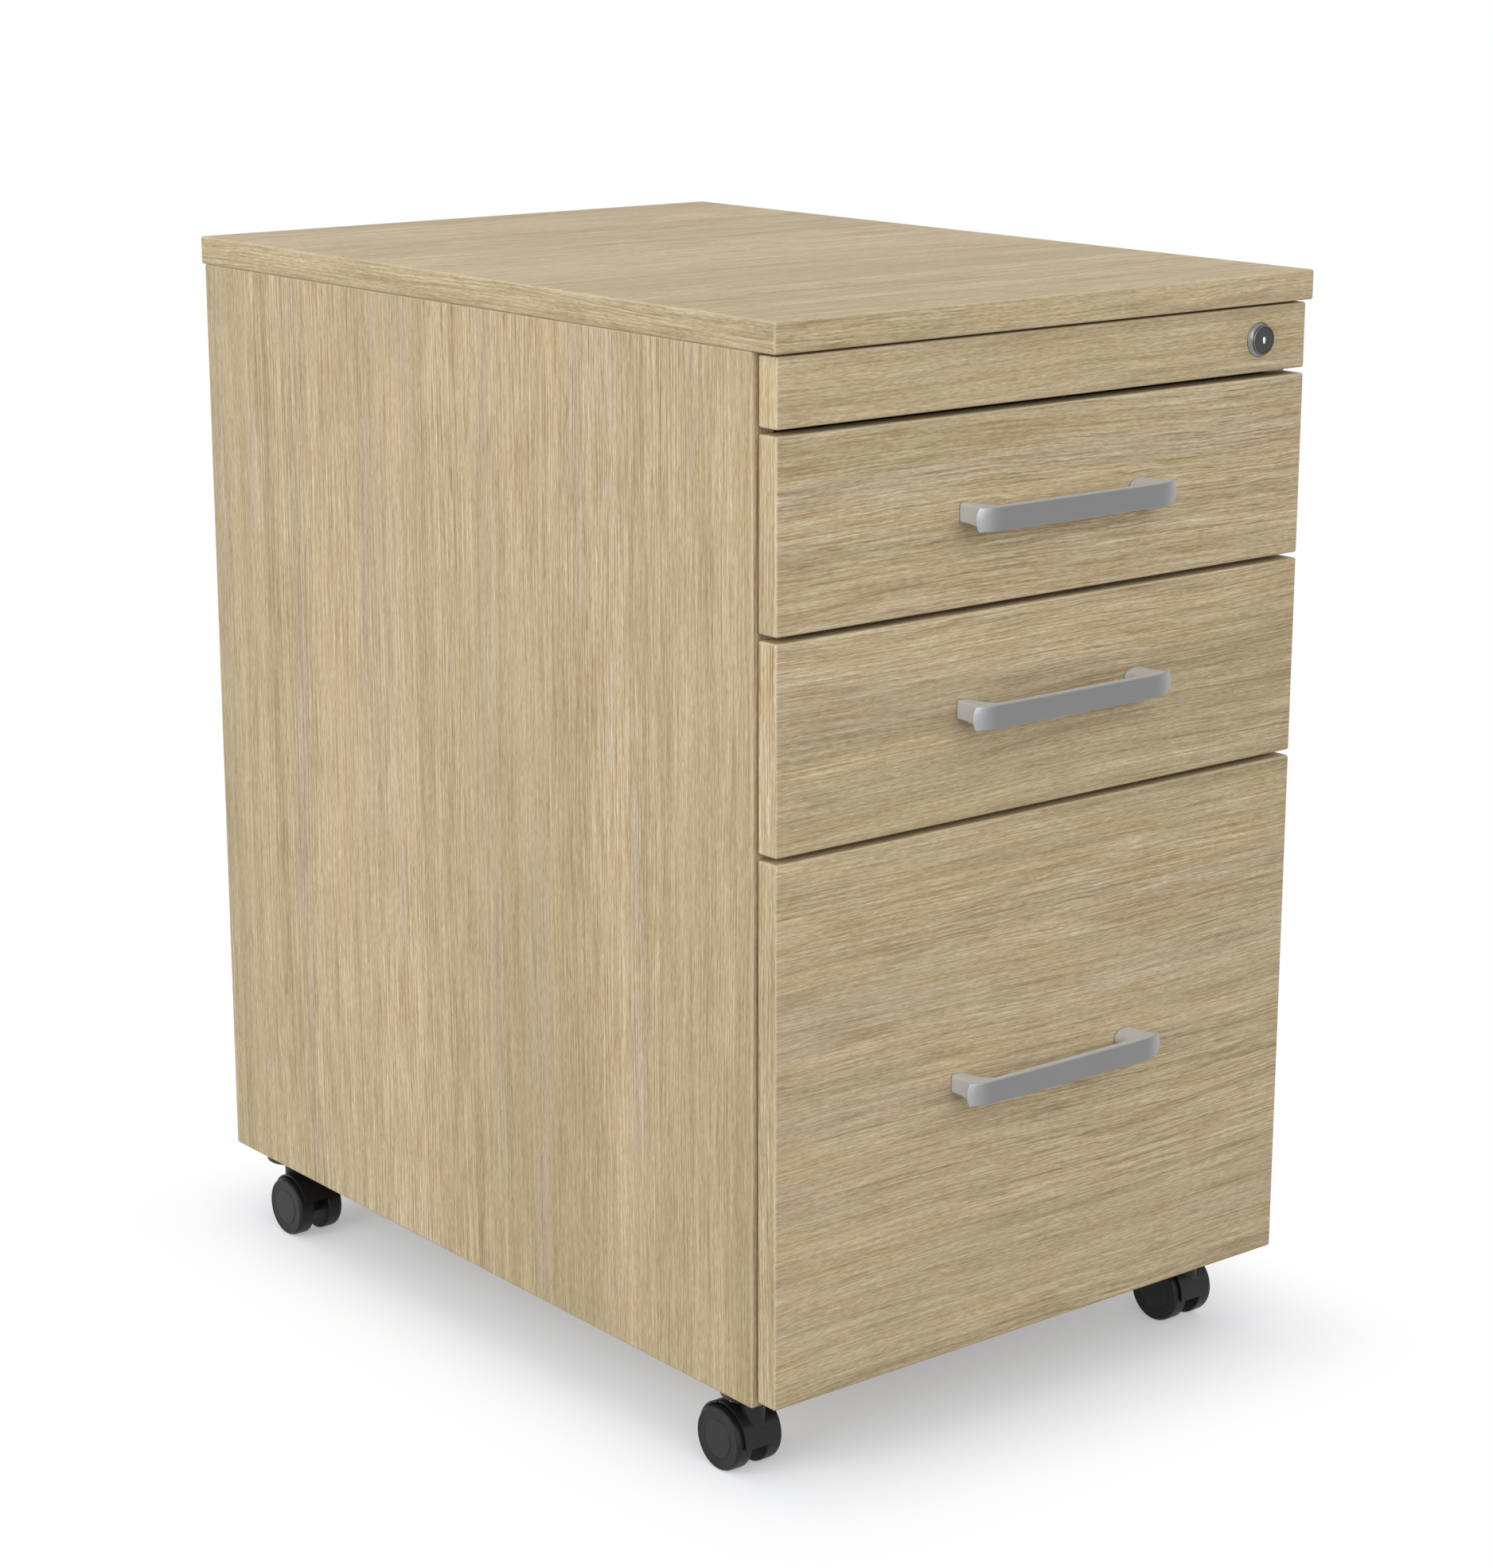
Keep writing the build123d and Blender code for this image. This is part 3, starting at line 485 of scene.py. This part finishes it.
def satin_finish(settings):
    """Cast metal, brushed bare along the bar's front face and lacquered elsewhere, with faint clouds.

    An edge share of 0 is bare and 1 is lacquered; the dark bare front is partly painted shade, the pale
    lacquer partly a painted highlight.
    """
    material, shader, start = new_finish("satin_metal", Specular_IOR_Level=0.5)
    _, (x, y, z) = object_place(start)
    lacquer_and_highlight = edge_share(start)
    brushed = start.noise(x * 90.0, z * 5200.0, y * 2600.0)
    cloud = start.noise(x * 38.0, z * 60.0, y * 60.0)
    colour = lacquer_and_highlight.between(settings.brushed, settings.cast)
    plug(shader, "Base Color", (0.90 + 0.12 * brushed + 0.08 * cloud).tint(colour))
    plug(shader, "Metallic", 1.0 - 0.85 * lacquer_and_highlight)
    plug(shader, "Roughness", settings.roughness - 0.09 + 0.12 * brushed + 0.06 * cloud)
    bump(shader, start, brushed, 0.02 * MM, 0.35)
    return material


def plated_finish(name, colour, roughness, grain):
    """Plated steel: soft spangle of cells, with a fine grain in its gloss."""
    material, shader, start = new_finish(name, Metallic=1.0)
    place, _ = object_place(start)
    cells = start.node("ShaderNodeTexVoronoi", {"feature": "SMOOTH_F1"},
                       {"Vector": place, "Scale": grain, "Smoothness": 0.6})
    fine = start.node("ShaderNodeTexNoise", None, {"Vector": place, "Scale": grain * 9, "Detail": 3.0})
    plug(shader, "Base Color", (0.86 + 0.16 * cells + 0.08 * fine).tint(colour))
    plug(shader, "Roughness", roughness - 0.08 + 0.10 * cells + 0.12 * fine)
    bump(shader, start, fine, 0.02 * MM, 0.3)
    return material


def coated_finish(name, colour, roughness, grain, depth, second=None):
    """Powder coat or moulded plastic: a pebbled skin with faint clouds.

    Where a second colour is given, an edge share of 1 has it.
    """
    material, shader, start = new_finish(name, Specular_IOR_Level=0.3)
    place, _ = object_place(start)
    skin = start.node("ShaderNodeTexNoise", None, {"Vector": place, "Scale": grain, "Detail": 2.0})
    cloud = start.node("ShaderNodeTexNoise", None, {"Vector": place, "Scale": grain / 24, "Detail": 3.0})
    if second is not None:
        colour = edge_share(start).between(colour, second)
    plug(shader, "Base Color", (0.86 + 0.12 * skin + 0.16 * cloud).tint(colour))
    plug(shader, "Roughness", roughness - 0.08 + 0.10 * skin + 0.08 * cloud)
    bump(shader, start, skin, depth, 0.6)
    return material


def dowel_finish(colour):
    """Turned beech: short flecks along the dowels."""
    material, shader, start = new_finish("dowel_wood", Roughness=0.7)
    _, (x, y, z) = object_place(start)
    fleck = start.noise(x * 120.0, y * 900.0, z * 400.0, detail=3.0)
    plug(shader, "Base Color", (0.75 + 0.5 * fleck).tint(colour))
    return material


# Boards
# Metres along and across the grain by which the print moves on to the next board, axis and side
BOARD_STEP = np.array([1.9, 0.67])
AXIS_STEP = np.array([0.37, 0.83])
SIDE_STEP = np.array([0.0, 0.41])


def eased_lines(low, high, radius, steps, breaks):
    """Grid lines across a board and their edge shares.

    Over each eased edge they lie at the tangents of equal turns, so that its facets come out alike.
    """
    turn = radius * np.tan(np.linspace(math.pi / 4, 0, steps + 1))
    lines = np.concatenate([low + radius - turn, breaks, high - radius + turn[::-1]])
    share = np.linspace(1, 0, steps + 1)
    return lines, np.concatenate([share, np.zeros(len(breaks)), share[::-1]])


def board_patches(low, high, radius, steps, grain_axis, shift, groove=None):
    """Six patches of a board with eased edges.

    A point of the sharp box is pulled onto the box that lies one radius inside it, and pushed out again
    by the radius along the line between the two, so faces stay flat and edges and corners come out round.
    Grain runs along the grain axis on the two broad faces, and along the edge on the four narrow ones.
    The edge share rises from 0 on the flats to 1 in the middle of a rounding.
    A groove is a face's axis and side, a box of its mouth, its depth and half the slant of its walls.
    """
    thin = int(np.argmin(high - low))
    patches = []
    for axis in (X, Y, Z):
        for side, level in ((0, low[axis]), (1, high[axis])):
            others = [other for other in (X, Y, Z) if other != axis]
            cut = groove if groove and groove["face"] == (axis, side) else None
            lines, shares = [], []
            for other in others:
                breaks = np.empty(0)
                if cut:
                    edges = np.array([cut["low"][other], cut["high"][other]])
                    breaks = (edges[:, None] + np.array([-cut["wall"], cut["wall"]])).ravel()
                line, share = eased_lines(low[other], high[other], radius, steps, breaks)
                lines.append(line)
                shares.append(share)
            sharp = np.empty((len(lines[0]), len(lines[1]), 3))
            sharp[..., axis] = level
            sharp[..., others[0]] = lines[0][:, None]
            sharp[..., others[1]] = lines[1][None, :]
            inner = np.clip(sharp, low + radius, high - radius)
            way = sharp - inner
            points = inner + radius * way / np.linalg.norm(way, axis=-1, keepdims=True)
            if cut:
                inside = np.all((sharp[..., others] > cut["low"][others])
                                & (sharp[..., others] < cut["high"][others]), axis=-1)
                points[..., axis] += inside * cut["depth"] * (1 - 2 * side)
            run = grain_axis if axis == thin else next(other for other in others if other != thin)
            cross = next(other for other in others if other != run)
            grain = sharp[..., (run, cross)] + shift + (AXIS_STEP * axis + SIDE_STEP * side)
            edge = np.maximum(shares[0][:, None], shares[1][None, :])
            faces = grid_faces(*edge.shape)
            patches.append((points.reshape(-1, 3), faces, grain.reshape(-1, 2), edge.ravel()))
    return patches


def bar_groove():
    """The locking bar's groove in the right panel, from the bar's own box and its travel."""
    play, wall = 0.4 * MM, 0.02 * MM
    face = node_box("right_side_panel")[0][X]
    bar_low, bar_high = node_box("locking_bar")
    drop = next(joint for joint in frame["joints"] if joint["name"] == "locking_bar_drop")
    travel = drop["range_m"][1]
    low = np.array([face, bar_low[Y] - play, bar_low[Z] - travel - 2 * play])
    high = np.array([face, bar_high[Y] + play, bar_high[Z] + play])
    return {"face": (X, 0), "low": low, "high": high, "wall": wall, "depth": bar_high[X] - face + play}


def build_boards(settings):
    """Every board of the carcass and the drawers, with its own stretch of the printed grain."""
    wavy = laminate_finish("oak_laminate_wavy", settings, wave=1.0)
    straight = laminate_finish("oak_laminate_straight", settings, wave=0.28)
    boards = [
        ("top_panel", "carcass", X, wavy), ("left_side_panel", "carcass", Z, straight),
        ("right_side_panel", "carcass", Z, straight), ("back_panel", "carcass", Z, straight),
        ("bottom_panel", "carcass", Y, straight), ("lock_rail", "carcass", X, wavy),
    ]
    boards += [(f"{level}_drawer_front", f"{level}_drawer", X, wavy) for level in LEVELS]
    for number, (node, body, grain_axis, material) in enumerate(boards):
        low, high = node_box(node)
        groove = bar_groove() if node == "right_side_panel" else None
        patches = board_patches(low, high, settings.edge_radius, settings.edge_steps, grain_axis,
                                BOARD_STEP * number, groove)
        make_piece(f"{node}_laminate", patches, body, [node], material)


# Handles
def grip_points(settings, half, reach, height, sides=6, stations=40):
    """The grip bar: a rounded rectangle carried along X, in X, reach from the drawer front, and height.

    Its front bows as the square of the distance from the middle, and sweeps back as the square of the
    distance past the shoulder. Its ends swell by the square of the height, and the last stations shrink
    by a quarter circle to round the end. With it comes each point's edge share, which is 0 on the front
    face, grows towards the ends, where it paints a highlight, and is 1 on the other faces.
    """
    bow, edge, edge_steps = 0.5 * MM, 0.3 * MM, 4
    most_corner, end_highlight = 0.9, 0.6
    turn = np.linspace(0, math.pi / 2, edge_steps + 1)[1:]
    along = np.concatenate([np.linspace(0, half - edge, stations), half - edge + edge * np.sin(turn)])
    shrink = np.concatenate([np.zeros(stations), edge * (1 - np.cos(turn))])
    along = np.concatenate([-along[:0:-1], along])
    shrink = np.concatenate([shrink[:0:-1], shrink])
    past = np.clip((np.abs(along) - (half - settings.end_reach)) / settings.end_reach, 0, 1)
    front = reach - bow * (along / half) ** 2 - settings.end_sweep * past ** 2
    back = np.full_like(front, reach - settings.grip)
    middle, thick = (front + back) / 2, (front - back) / 2 - shrink
    tall = height / 2 - shrink
    corner = np.minimum(settings.corner, most_corner * thick)

    # Round the section: front face, two corners, back face, two corners
    quarter = np.radians(np.linspace(0, 90, sides + 1))
    rise = np.linspace(-1, 1, sides + 1)
    level_side, one = np.zeros(sides + 1), np.ones(sides + 1)
    angle = np.concatenate([level_side, quarter, quarter + math.pi / 2, level_side + math.pi,
                            quarter + math.pi, quarter + 1.5 * math.pi])
    upwards = np.concatenate([rise, one, one, -rise, -one, -one])
    outwards = np.concatenate([one, one, -one, -one, -one, one])
    depth = middle[:, None] + outwards * (thick - corner)[:, None] + corner[:, None] * np.cos(angle)
    level = upwards * (tall - corner)[:, None] + corner[:, None] * np.sin(angle)
    swell = np.sign(along) * past ** 2 * settings.end_bulge
    across = along[:, None] - swell[:, None] * (2 * level / height) ** 2
    ring = np.stack([across, depth, level], -1)
    ends = np.concatenate([past[:1], past, past[-1:]])
    turned_away = 1 - np.maximum(np.cos(angle), 0)
    # The share that grows towards the ends paints a highlight on the swept ends
    return shut_ends(ring), np.maximum(turned_away, end_highlight * ends[:, None] ** 2)


def shut_ends(ring):
    """Rings of points with a ring at the middle of each end, which closes it."""
    ends = (ring[:1], ring[-1:])
    first, last = (np.broadcast_to(end.mean(axis=1, keepdims=True), end.shape) for end in ends)
    return np.concatenate([first, ring, last])


def leg_points(settings, reach, height, sides=48, steps=18):
    """A leg: a D-shaped section that flares by a power of its way from the drawer front to the grip bar.

    The section is a superellipse, near square towards the outside and near round towards the inside. Its
    top stays level with the top of the bar, and its outer face is hollow and flares only close to the bar.
    """
    inner_flare, outer_flare = 2.6, 3.5
    square, near_round = 2 / 7, 2 / 2.3
    top_gap, bar_gap, overlap = 0.2 * MM, 0.3 * MM, 1.0 * MM
    outer_part = 4.0 * MM
    share = np.linspace(0, 1, steps + 1)[:, None]
    flare = share ** inner_flare
    angle = np.linspace(0, 2 * math.pi, sides + 1)[None, :]
    hole = settings.spacing / 2
    outer = hole + settings.foot_outer + (settings.flare_outer - settings.foot_outer) * share ** outer_flare
    outer = outer - settings.hollow * 4 * share * (1 - share)
    inner = hole - settings.foot_inner - (settings.flare_inner - settings.foot_inner) * flare
    tall = settings.foot_height / 2 + (height / 2 - bar_gap - settings.foot_height / 2) * flare
    cosine, sine = np.cos(angle), np.sin(angle)
    power = np.where(cosine > 0, square, near_round)
    width = np.where(cosine > 0, outer_part, outer - outer_part - inner)
    across = outer - outer_part + width * np.sign(cosine) * np.abs(cosine) ** power
    level = height / 2 - top_gap - tall + tall * np.sign(sine) * np.abs(sine) ** power
    depth = np.broadcast_to(share * (reach - settings.grip + overlap), level.shape)
    return shut_ends(np.stack([across, depth, level], -1))


def build_handles(settings):
    """A bow handle on each drawer front: grip bar and two flared legs."""
    material = satin_finish(settings)
    for level in LEVELS:
        node = f"{level}_handle"
        low, high = node_box(node)
        half, reach, height = (high[X] - low[X]) / 2, high[Y] - low[Y], high[Z] - low[Z]
        leg = leg_points(settings, reach, height)
        other_leg = leg * np.array([-1, 1, 1])
        shapes = [grip_points(settings, half, reach, height), (leg, 1.0), (other_leg, 1.0)]
        place = np.array([(low[X] + high[X]) / 2, high[Y], (low[Z] + high[Z]) / 2])
        patches = [grid_patch(shape * np.array([1, -1, 1]) + place, edge) for shape, edge in shapes]
        make_piece(f"{level}_bow_handle", patches, f"{level}_drawer", [node], material)


# Lock
def lock_profile(settings, board, nose, tail, bore):
    """Section of the lock's ring as pairs of Y and radius: barrel, rim, bevel, grooved nose, round bead."""
    flange, neck, barrel = settings.flange / 2, settings.nose / 2, settings.barrel / 2
    rim, bead = board - settings.rim, settings.bead
    waist = rim - settings.bevel
    groove = nose + 3 * bead
    return np.concatenate([
        [(tail, bore), (tail, barrel), (board, barrel), (board, flange)],
        arc((rim + bead / 2, flange - bead / 2), bead / 2, 90, 180, 4),
        [(waist, neck + 2 * bead), (waist, neck + bead / 2)],
        [(groove + bead, neck), (groove + bead / 2, neck - bead / 2), (groove, neck)],
        arc((nose + bead, neck - bead), bead, 90, 180, 5),
        arc((nose + bead, bore + bead), bead, 180, 270, 5),
        [(tail, bore)],
    ])


def keyhole_points(settings, face):
    """The keyhole: a dome over an ellipse, its rows at angles of a quarter circle, then sunk and shut."""
    rise, sides = 0.35 * MM, 40
    angle = np.linspace(0, 2 * math.pi, sides + 1)
    lift = np.radians(np.array([90, 60, 35, 15, 0]))[:, None]
    dome = np.stack([settings.keyhole_width / 2 * np.cos(lift) * np.cos(angle),
                     face - rise * np.sin(lift) + 0 * angle,
                     settings.keyhole_height / 2 * np.cos(lift) * np.sin(angle)], -1)
    sunk = dome[-1:] + np.array([0, rise, 0])
    shut = sunk * np.array([0, 1, 0])
    return np.concatenate([dome, sunk, shut])


def build_lock(settings):
    """The lock's ring, turned about its axis, its plug's dark face, a rim of painted shade, and the
    keyhole.
    """
    sides, play, bead = 72, 0.05 * MM, settings.bead
    low, high = node_box("lock_body")
    centre = np.array([(low[X] + high[X]) / 2, 0, (low[Z] + high[Z]) / 2])
    plug_low, plug_high = node_box("lock_plug")
    plug_radius = (plug_high[X] - plug_low[X]) / 2
    bore = plug_radius + play
    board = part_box("lock_rail")[0][Y]
    nickel = plated_finish("lock_nickel", settings.nickel, roughness=0.24, grain=900.0)
    ring = turned(lock_profile(settings, board, low[Y], high[Y], bore), Y, centre, sides)
    make_piece("lock_ring", [ring], "carcass", ["lock_body"], nickel)

    face = plug_low[Y]
    dark = coated_finish("lock_face", settings.face, roughness=0.40, grain=4000.0, depth=0.01 * MM)
    profile = np.concatenate([
        [(plug_high[Y], 0), (plug_high[Y], plug_radius)],
        arc((face + bead, plug_radius - bead), bead, 90, 180, 4),
        [(face, 0)],
    ])
    plug_face = turned(profile, Y, centre, sides)
    make_piece("plug_face", [plug_face], "lock_cylinder", ["lock_plug"], dark)

    # A thin dark ring on the nose's front is painted shade, standing in for a darker reflection there
    outer = settings.nose / 2 - 0.8 * bead
    front, back = low[Y] - play, low[Y] + bead
    profile = np.array([(back, bore), (front, bore), (front, outer), (back, outer), (back, bore)])
    make_piece("painted_shade_rim", [turned(profile, Y, centre, sides)], "carcass", [], dark)

    bright = plated_finish("keyhole_nickel", settings.bright, roughness=0.20, grain=900.0)
    keyhole = grid_patch(keyhole_points(settings, face) + centre)
    make_piece("keyhole", [keyhole], "lock_cylinder", [], bright)


# Castors
def wheel_profile(settings, radius, width):
    """Half a wheel's section as pairs of distance from its inner face and radius.

    From the bore it goes round the tread, over a shoulder that is a quarter of an ellipse, and down the
    outer face, which has a bead near its edge and a raised hub disc.
    """
    shoulder, drop, bead, disc = settings.shoulder, settings.drop, settings.bead, settings.disc
    wall, ease, shoulder_steps = 3.5 * MM, 1.0 * MM, 7
    bore_end = width - wall
    face = width - bead / 2
    turn = np.radians(np.linspace(0, 90, shoulder_steps + 1))
    edge = radius - drop
    return np.concatenate([
        [(bore_end, 0), (bore_end, settings.bore), (0, settings.bore)],
        arc((ease, radius - ease), ease, 180, 90, 4),
        np.stack([width - shoulder + shoulder * np.sin(turn), edge + drop * np.cos(turn)], -1),
        [(width, edge - bead), (face, edge - 1.6 * bead), (face, disc + 1.2 * bead)],
        [(face - bead / 2, disc + 0.6 * bead), (face, disc)],
        arc((width - bead / 2, disc - bead / 2), bead / 2, 90, 0, 3),
        [(width, disc / 2), (width, 0)],
    ])


def build_castors(settings):
    """Hoods with eased edges, and turned wheels with a hub disc. The plates match the hoods."""
    moulding = {"grain": 2600.0, "depth": 0.02 * MM}
    sides, hood_steps = 96, 2
    hood = coated_finish("castor_plastic", settings.hood_black, roughness=0.34, **moulding)
    tyre = coated_finish("wheel_plastic", settings.tread_black, roughness=0.42, second=settings.disc_black,
                         **moulding)
    paint(["castor_plates"], hood)
    for castor in CORNERS:
        bevelled_copy(f"{castor}_cover", f"{castor}_hood", castor, hood,
                      settings.hood_edge, hood_steps)
        for hand, way in (("left", -1), ("right", 1)):
            node = f"{castor}_{hand}_wheel"
            low, high = node_box(node)
            radius, width = (high[Z] - low[Z]) / 2, high[X] - low[X]
            profile = wheel_profile(settings, radius, width) * np.array([way, 1])
            on_disc = profile[:, 1] <= settings.disc
            inner = low[X] if way > 0 else high[X]
            centre = (inner, (low[Y] + high[Y]) / 2, (low[Z] + high[Z]) / 2)
            wheel = turned(profile, X, centre, sides, on_disc)
            make_piece(f"{castor}_{hand}_tyre", [wheel], node, [node], tyre)


# Steel and small fittings
def finish_steel(settings):
    """Finishes on the CAD nodes that are shown as they are."""
    zinc = plated_finish("zinc_steel", settings.zinc, roughness=0.34, grain=260.0)
    enamel = coated_finish("drawer_enamel", settings.enamel, roughness=0.42, grain=1500.0, depth=0.03 * MM)
    paint([f"{level}_drawer_box" for level in LEVELS], enamel)
    plated = ["rail_brackets", "panel_screws", "cam_discs", "cam_bolts", "castor_pins", "lock_nut",
              "lock_crank", "locking_bar", "locking_bar_guides", "file_rails"]
    for level in LEVELS:
        plated += [f"{level}_{part}" for part in ("runner_channels", "runner_carriers", "drawer_slides",
                                                  "drawer_screws", "lock_catch")]
    plated += [f"{castor}_axle" for castor in CORNERS]
    paint(plated, zinc)
    paint(["panel_dowels"], dowel_finish(settings.beech))


# Stage
def add_holder(name, data, place, target):
    """An object that holds a lamp or a camera and faces a point."""
    holder = bpy.data.objects.new(name, data)
    bpy.context.scene.collection.objects.link(holder)
    holder.location = place
    holder.rotation_euler = (Vector(target) - Vector(place)).to_track_quat("-Z", "Y").to_euler()
    return holder


def add_lamp(name, place, target, size, power):
    """A round soft lamp that faces a point."""
    lamp = bpy.data.lights.new(name, "AREA")
    lamp.shape = "DISK"
    lamp.size = size
    lamp.energy = power
    add_holder(name, lamp, place, target)


def seen_rays(start):
    """1 for rays that show the background: from the camera, mirrored or through glass."""
    rays = [start.node("ShaderNodeLightPath", None, None, name)
            for name in ("Is Camera Ray", "Is Glossy Ray", "Is Transmission Ray")]
    return start.maths("MAXIMUM", start.maths("MAXIMUM", rays[0], rays[1]), rays[2])


def floor_finish(settings):
    """White paper that keeps a soft shadow near the object and fades into the white surround.

    Where it is seen it gives off part of its white. The rest comes from the light, and shadow takes it
    away. The fade goes by the distance to the object's footprint.
    """
    # A little over white, so that the lit paper is clean, and a little blue, so that its shadow is cool
    full_white, tint = 1.02, np.array([0.985, 1.0, 1.04])
    material, shader, start = new_finish("floor_paper")
    tree = material.node_tree
    tree.nodes.remove(shader)
    place, _ = object_place(start)
    low, high = (np.array(corner) for corner in cad_box)
    half = (high - low) / 2 - settings.inset
    past = start.node("ShaderNodeVectorMath", {"operation": "ABSOLUTE"}, {0: place})
    past = start.node("ShaderNodeVectorMath", {"operation": "SUBTRACT"}, {0: past, 1: tuple(half)})
    past = start.node("ShaderNodeVectorMath", {"operation": "MAXIMUM"}, {0: past, 1: (0, 0, 0)})
    distance = start.node("ShaderNodeVectorMath", {"operation": "LENGTH"}, {0: past}, "Value")
    far = distance.step(0.0, settings.fade)
    cool = settings.shadow * tint
    paper = start.node("ShaderNodeBsdfDiffuse", None, {"Color": (*settings.floor, 1)})
    thin = start.node("ShaderNodeBsdfDiffuse", None, {"Color": (*cool, 1)})
    glow = start.node("ShaderNodeEmission", None, {"Strength": full_white - settings.shadow})
    white = start.node("ShaderNodeEmission", None, {"Strength": 1.0})
    near = start.node("ShaderNodeAddShader", None, {0: thin, 1: glow})
    shown = start.node("ShaderNodeMixShader", None, {0: far, 1: near, 2: white})
    surface = start.node("ShaderNodeMixShader", None, {0: seen_rays(start), 1: paper, 2: shown})
    tree.links.new(surface.socket, tree.nodes["Material Output"].inputs["Surface"])
    return material


def build_stage(settings):
    """A white floor that fades into a white surround, two soft lamps and the camera."""
    scene = bpy.context.scene
    scene.view_settings.view_transform = "Standard"

    world = bpy.data.worlds.new("studio")
    scene.world = world
    world.use_nodes = True
    backdrop = world.node_tree.nodes["Background"]
    backdrop.inputs["Color"].default_value = (1, 1, 1, 1)
    level = settings.sky + (1 - settings.sky) * seen_rays(Wire(world.node_tree))
    world.node_tree.links.new(level.socket, backdrop.inputs["Strength"])

    reach, lines = 12.0, 3
    grid = np.linspace(-reach, reach, lines)
    points = np.stack([*np.meshgrid(grid, grid, indexing="ij"), np.zeros((lines, lines))], -1)
    mesh = bpy.data.meshes.new("floor")
    mesh.from_pydata(points.reshape(-1, 3).tolist(), [], grid_faces(lines, lines).tolist())
    mesh.materials.append(floor_finish(settings))
    floor = bpy.data.objects.new("floor", mesh)
    scene.collection.objects.link(floor)

    add_lamp("key_lamp", settings.key_place, settings.lamp_aim, settings.lamp_size, settings.key)
    add_lamp("fill_lamp", settings.fill_place, settings.lamp_aim, settings.lamp_size, settings.fill)

    camera = bpy.data.cameras.new("camera")
    camera.lens = settings.lens
    camera.sensor_width = 36.0
    scene.camera = add_holder("camera", camera, settings.camera, settings.target)


# Operators and panel
class PEDESTAL_OT_boards(Operator):
    """Lay the laminate boards"""
    bl_idname = "pedestal.boards"
    bl_label = "Laminate boards"

    def execute(self, context):
        build_boards(context.scene.pedestal_boards)
        return {"FINISHED"}


class PEDESTAL_OT_handles(Operator):
    """Cast the bow handles"""
    bl_idname = "pedestal.handles"
    bl_label = "Bow handles"

    def execute(self, context):
        build_handles(context.scene.pedestal_handles)
        return {"FINISHED"}


class PEDESTAL_OT_lock(Operator):
    """Turn the lock and set its keyhole"""
    bl_idname = "pedestal.lock"
    bl_label = "Lock"

    def execute(self, context):
        build_lock(context.scene.pedestal_lock)
        return {"FINISHED"}


class PEDESTAL_OT_castors(Operator):
    """Mould the castors"""
    bl_idname = "pedestal.castors"
    bl_label = "Castors"

    def execute(self, context):
        build_castors(context.scene.pedestal_castors)
        return {"FINISHED"}


class PEDESTAL_OT_steel(Operator):
    """Plate and paint the steel"""
    bl_idname = "pedestal.steel"
    bl_label = "Drawer boxes, runners and fittings"

    def execute(self, context):
        finish_steel(context.scene.pedestal_steel)
        return {"FINISHED"}


class PEDESTAL_OT_stage(Operator):
    """Set the floor, the lamps and the camera"""
    bl_idname = "pedestal.stage"
    bl_label = "Stage"

    def execute(self, context):
        build_stage(context.scene.pedestal_stage)
        return {"FINISHED"}


SETTINGS = {
    "pedestal_boards": BoardSettings, "pedestal_handles": HandleSettings, "pedestal_lock": LockSettings,
    "pedestal_castors": CastorSettings, "pedestal_steel": SteelSettings, "pedestal_stage": StageSettings,
}
OPERATORS = (PEDESTAL_OT_boards, PEDESTAL_OT_handles, PEDESTAL_OT_lock, PEDESTAL_OT_castors,
             PEDESTAL_OT_steel, PEDESTAL_OT_stage)


class PEDESTAL_PT_sidebar(Panel):
    """Lists the steps with their settings"""
    bl_idname = "PEDESTAL_PT_sidebar"
    bl_label = "Drawer pedestal"
    bl_space_type = "VIEW_3D"
    bl_region_type = "UI"
    bl_category = "Pedestal"

    def draw(self, context):
        """One box for each step: its button and its settings."""
        for operator, name in zip(OPERATORS, SETTINGS):
            box = self.layout.box()
            box.operator(operator.bl_idname)
            for key in SETTINGS[name].__annotations__:
                box.prop(getattr(context.scene, name), key)


CLASSES = (*SETTINGS.values(), *OPERATORS, PEDESTAL_PT_sidebar)


def register():
    """Adds the classes, and each group of settings to the scene."""
    for each in CLASSES:
        bpy.utils.register_class(each)
    for name, group in SETTINGS.items():
        setattr(bpy.types.Scene, name, PointerProperty(type=group))


def unregister():
    """Takes the settings off the scene and removes the classes."""
    for name in SETTINGS:
        delattr(bpy.types.Scene, name)
    for each in reversed(CLASSES):
        bpy.utils.unregister_class(each)


def main():
    """Runs every step in order."""
    register()
    bpy.ops.pedestal.boards()
    bpy.ops.pedestal.handles()
    bpy.ops.pedestal.lock()
    bpy.ops.pedestal.castors()
    bpy.ops.pedestal.steel()
    bpy.ops.pedestal.stage()


if __name__ == "__main__":
    main()
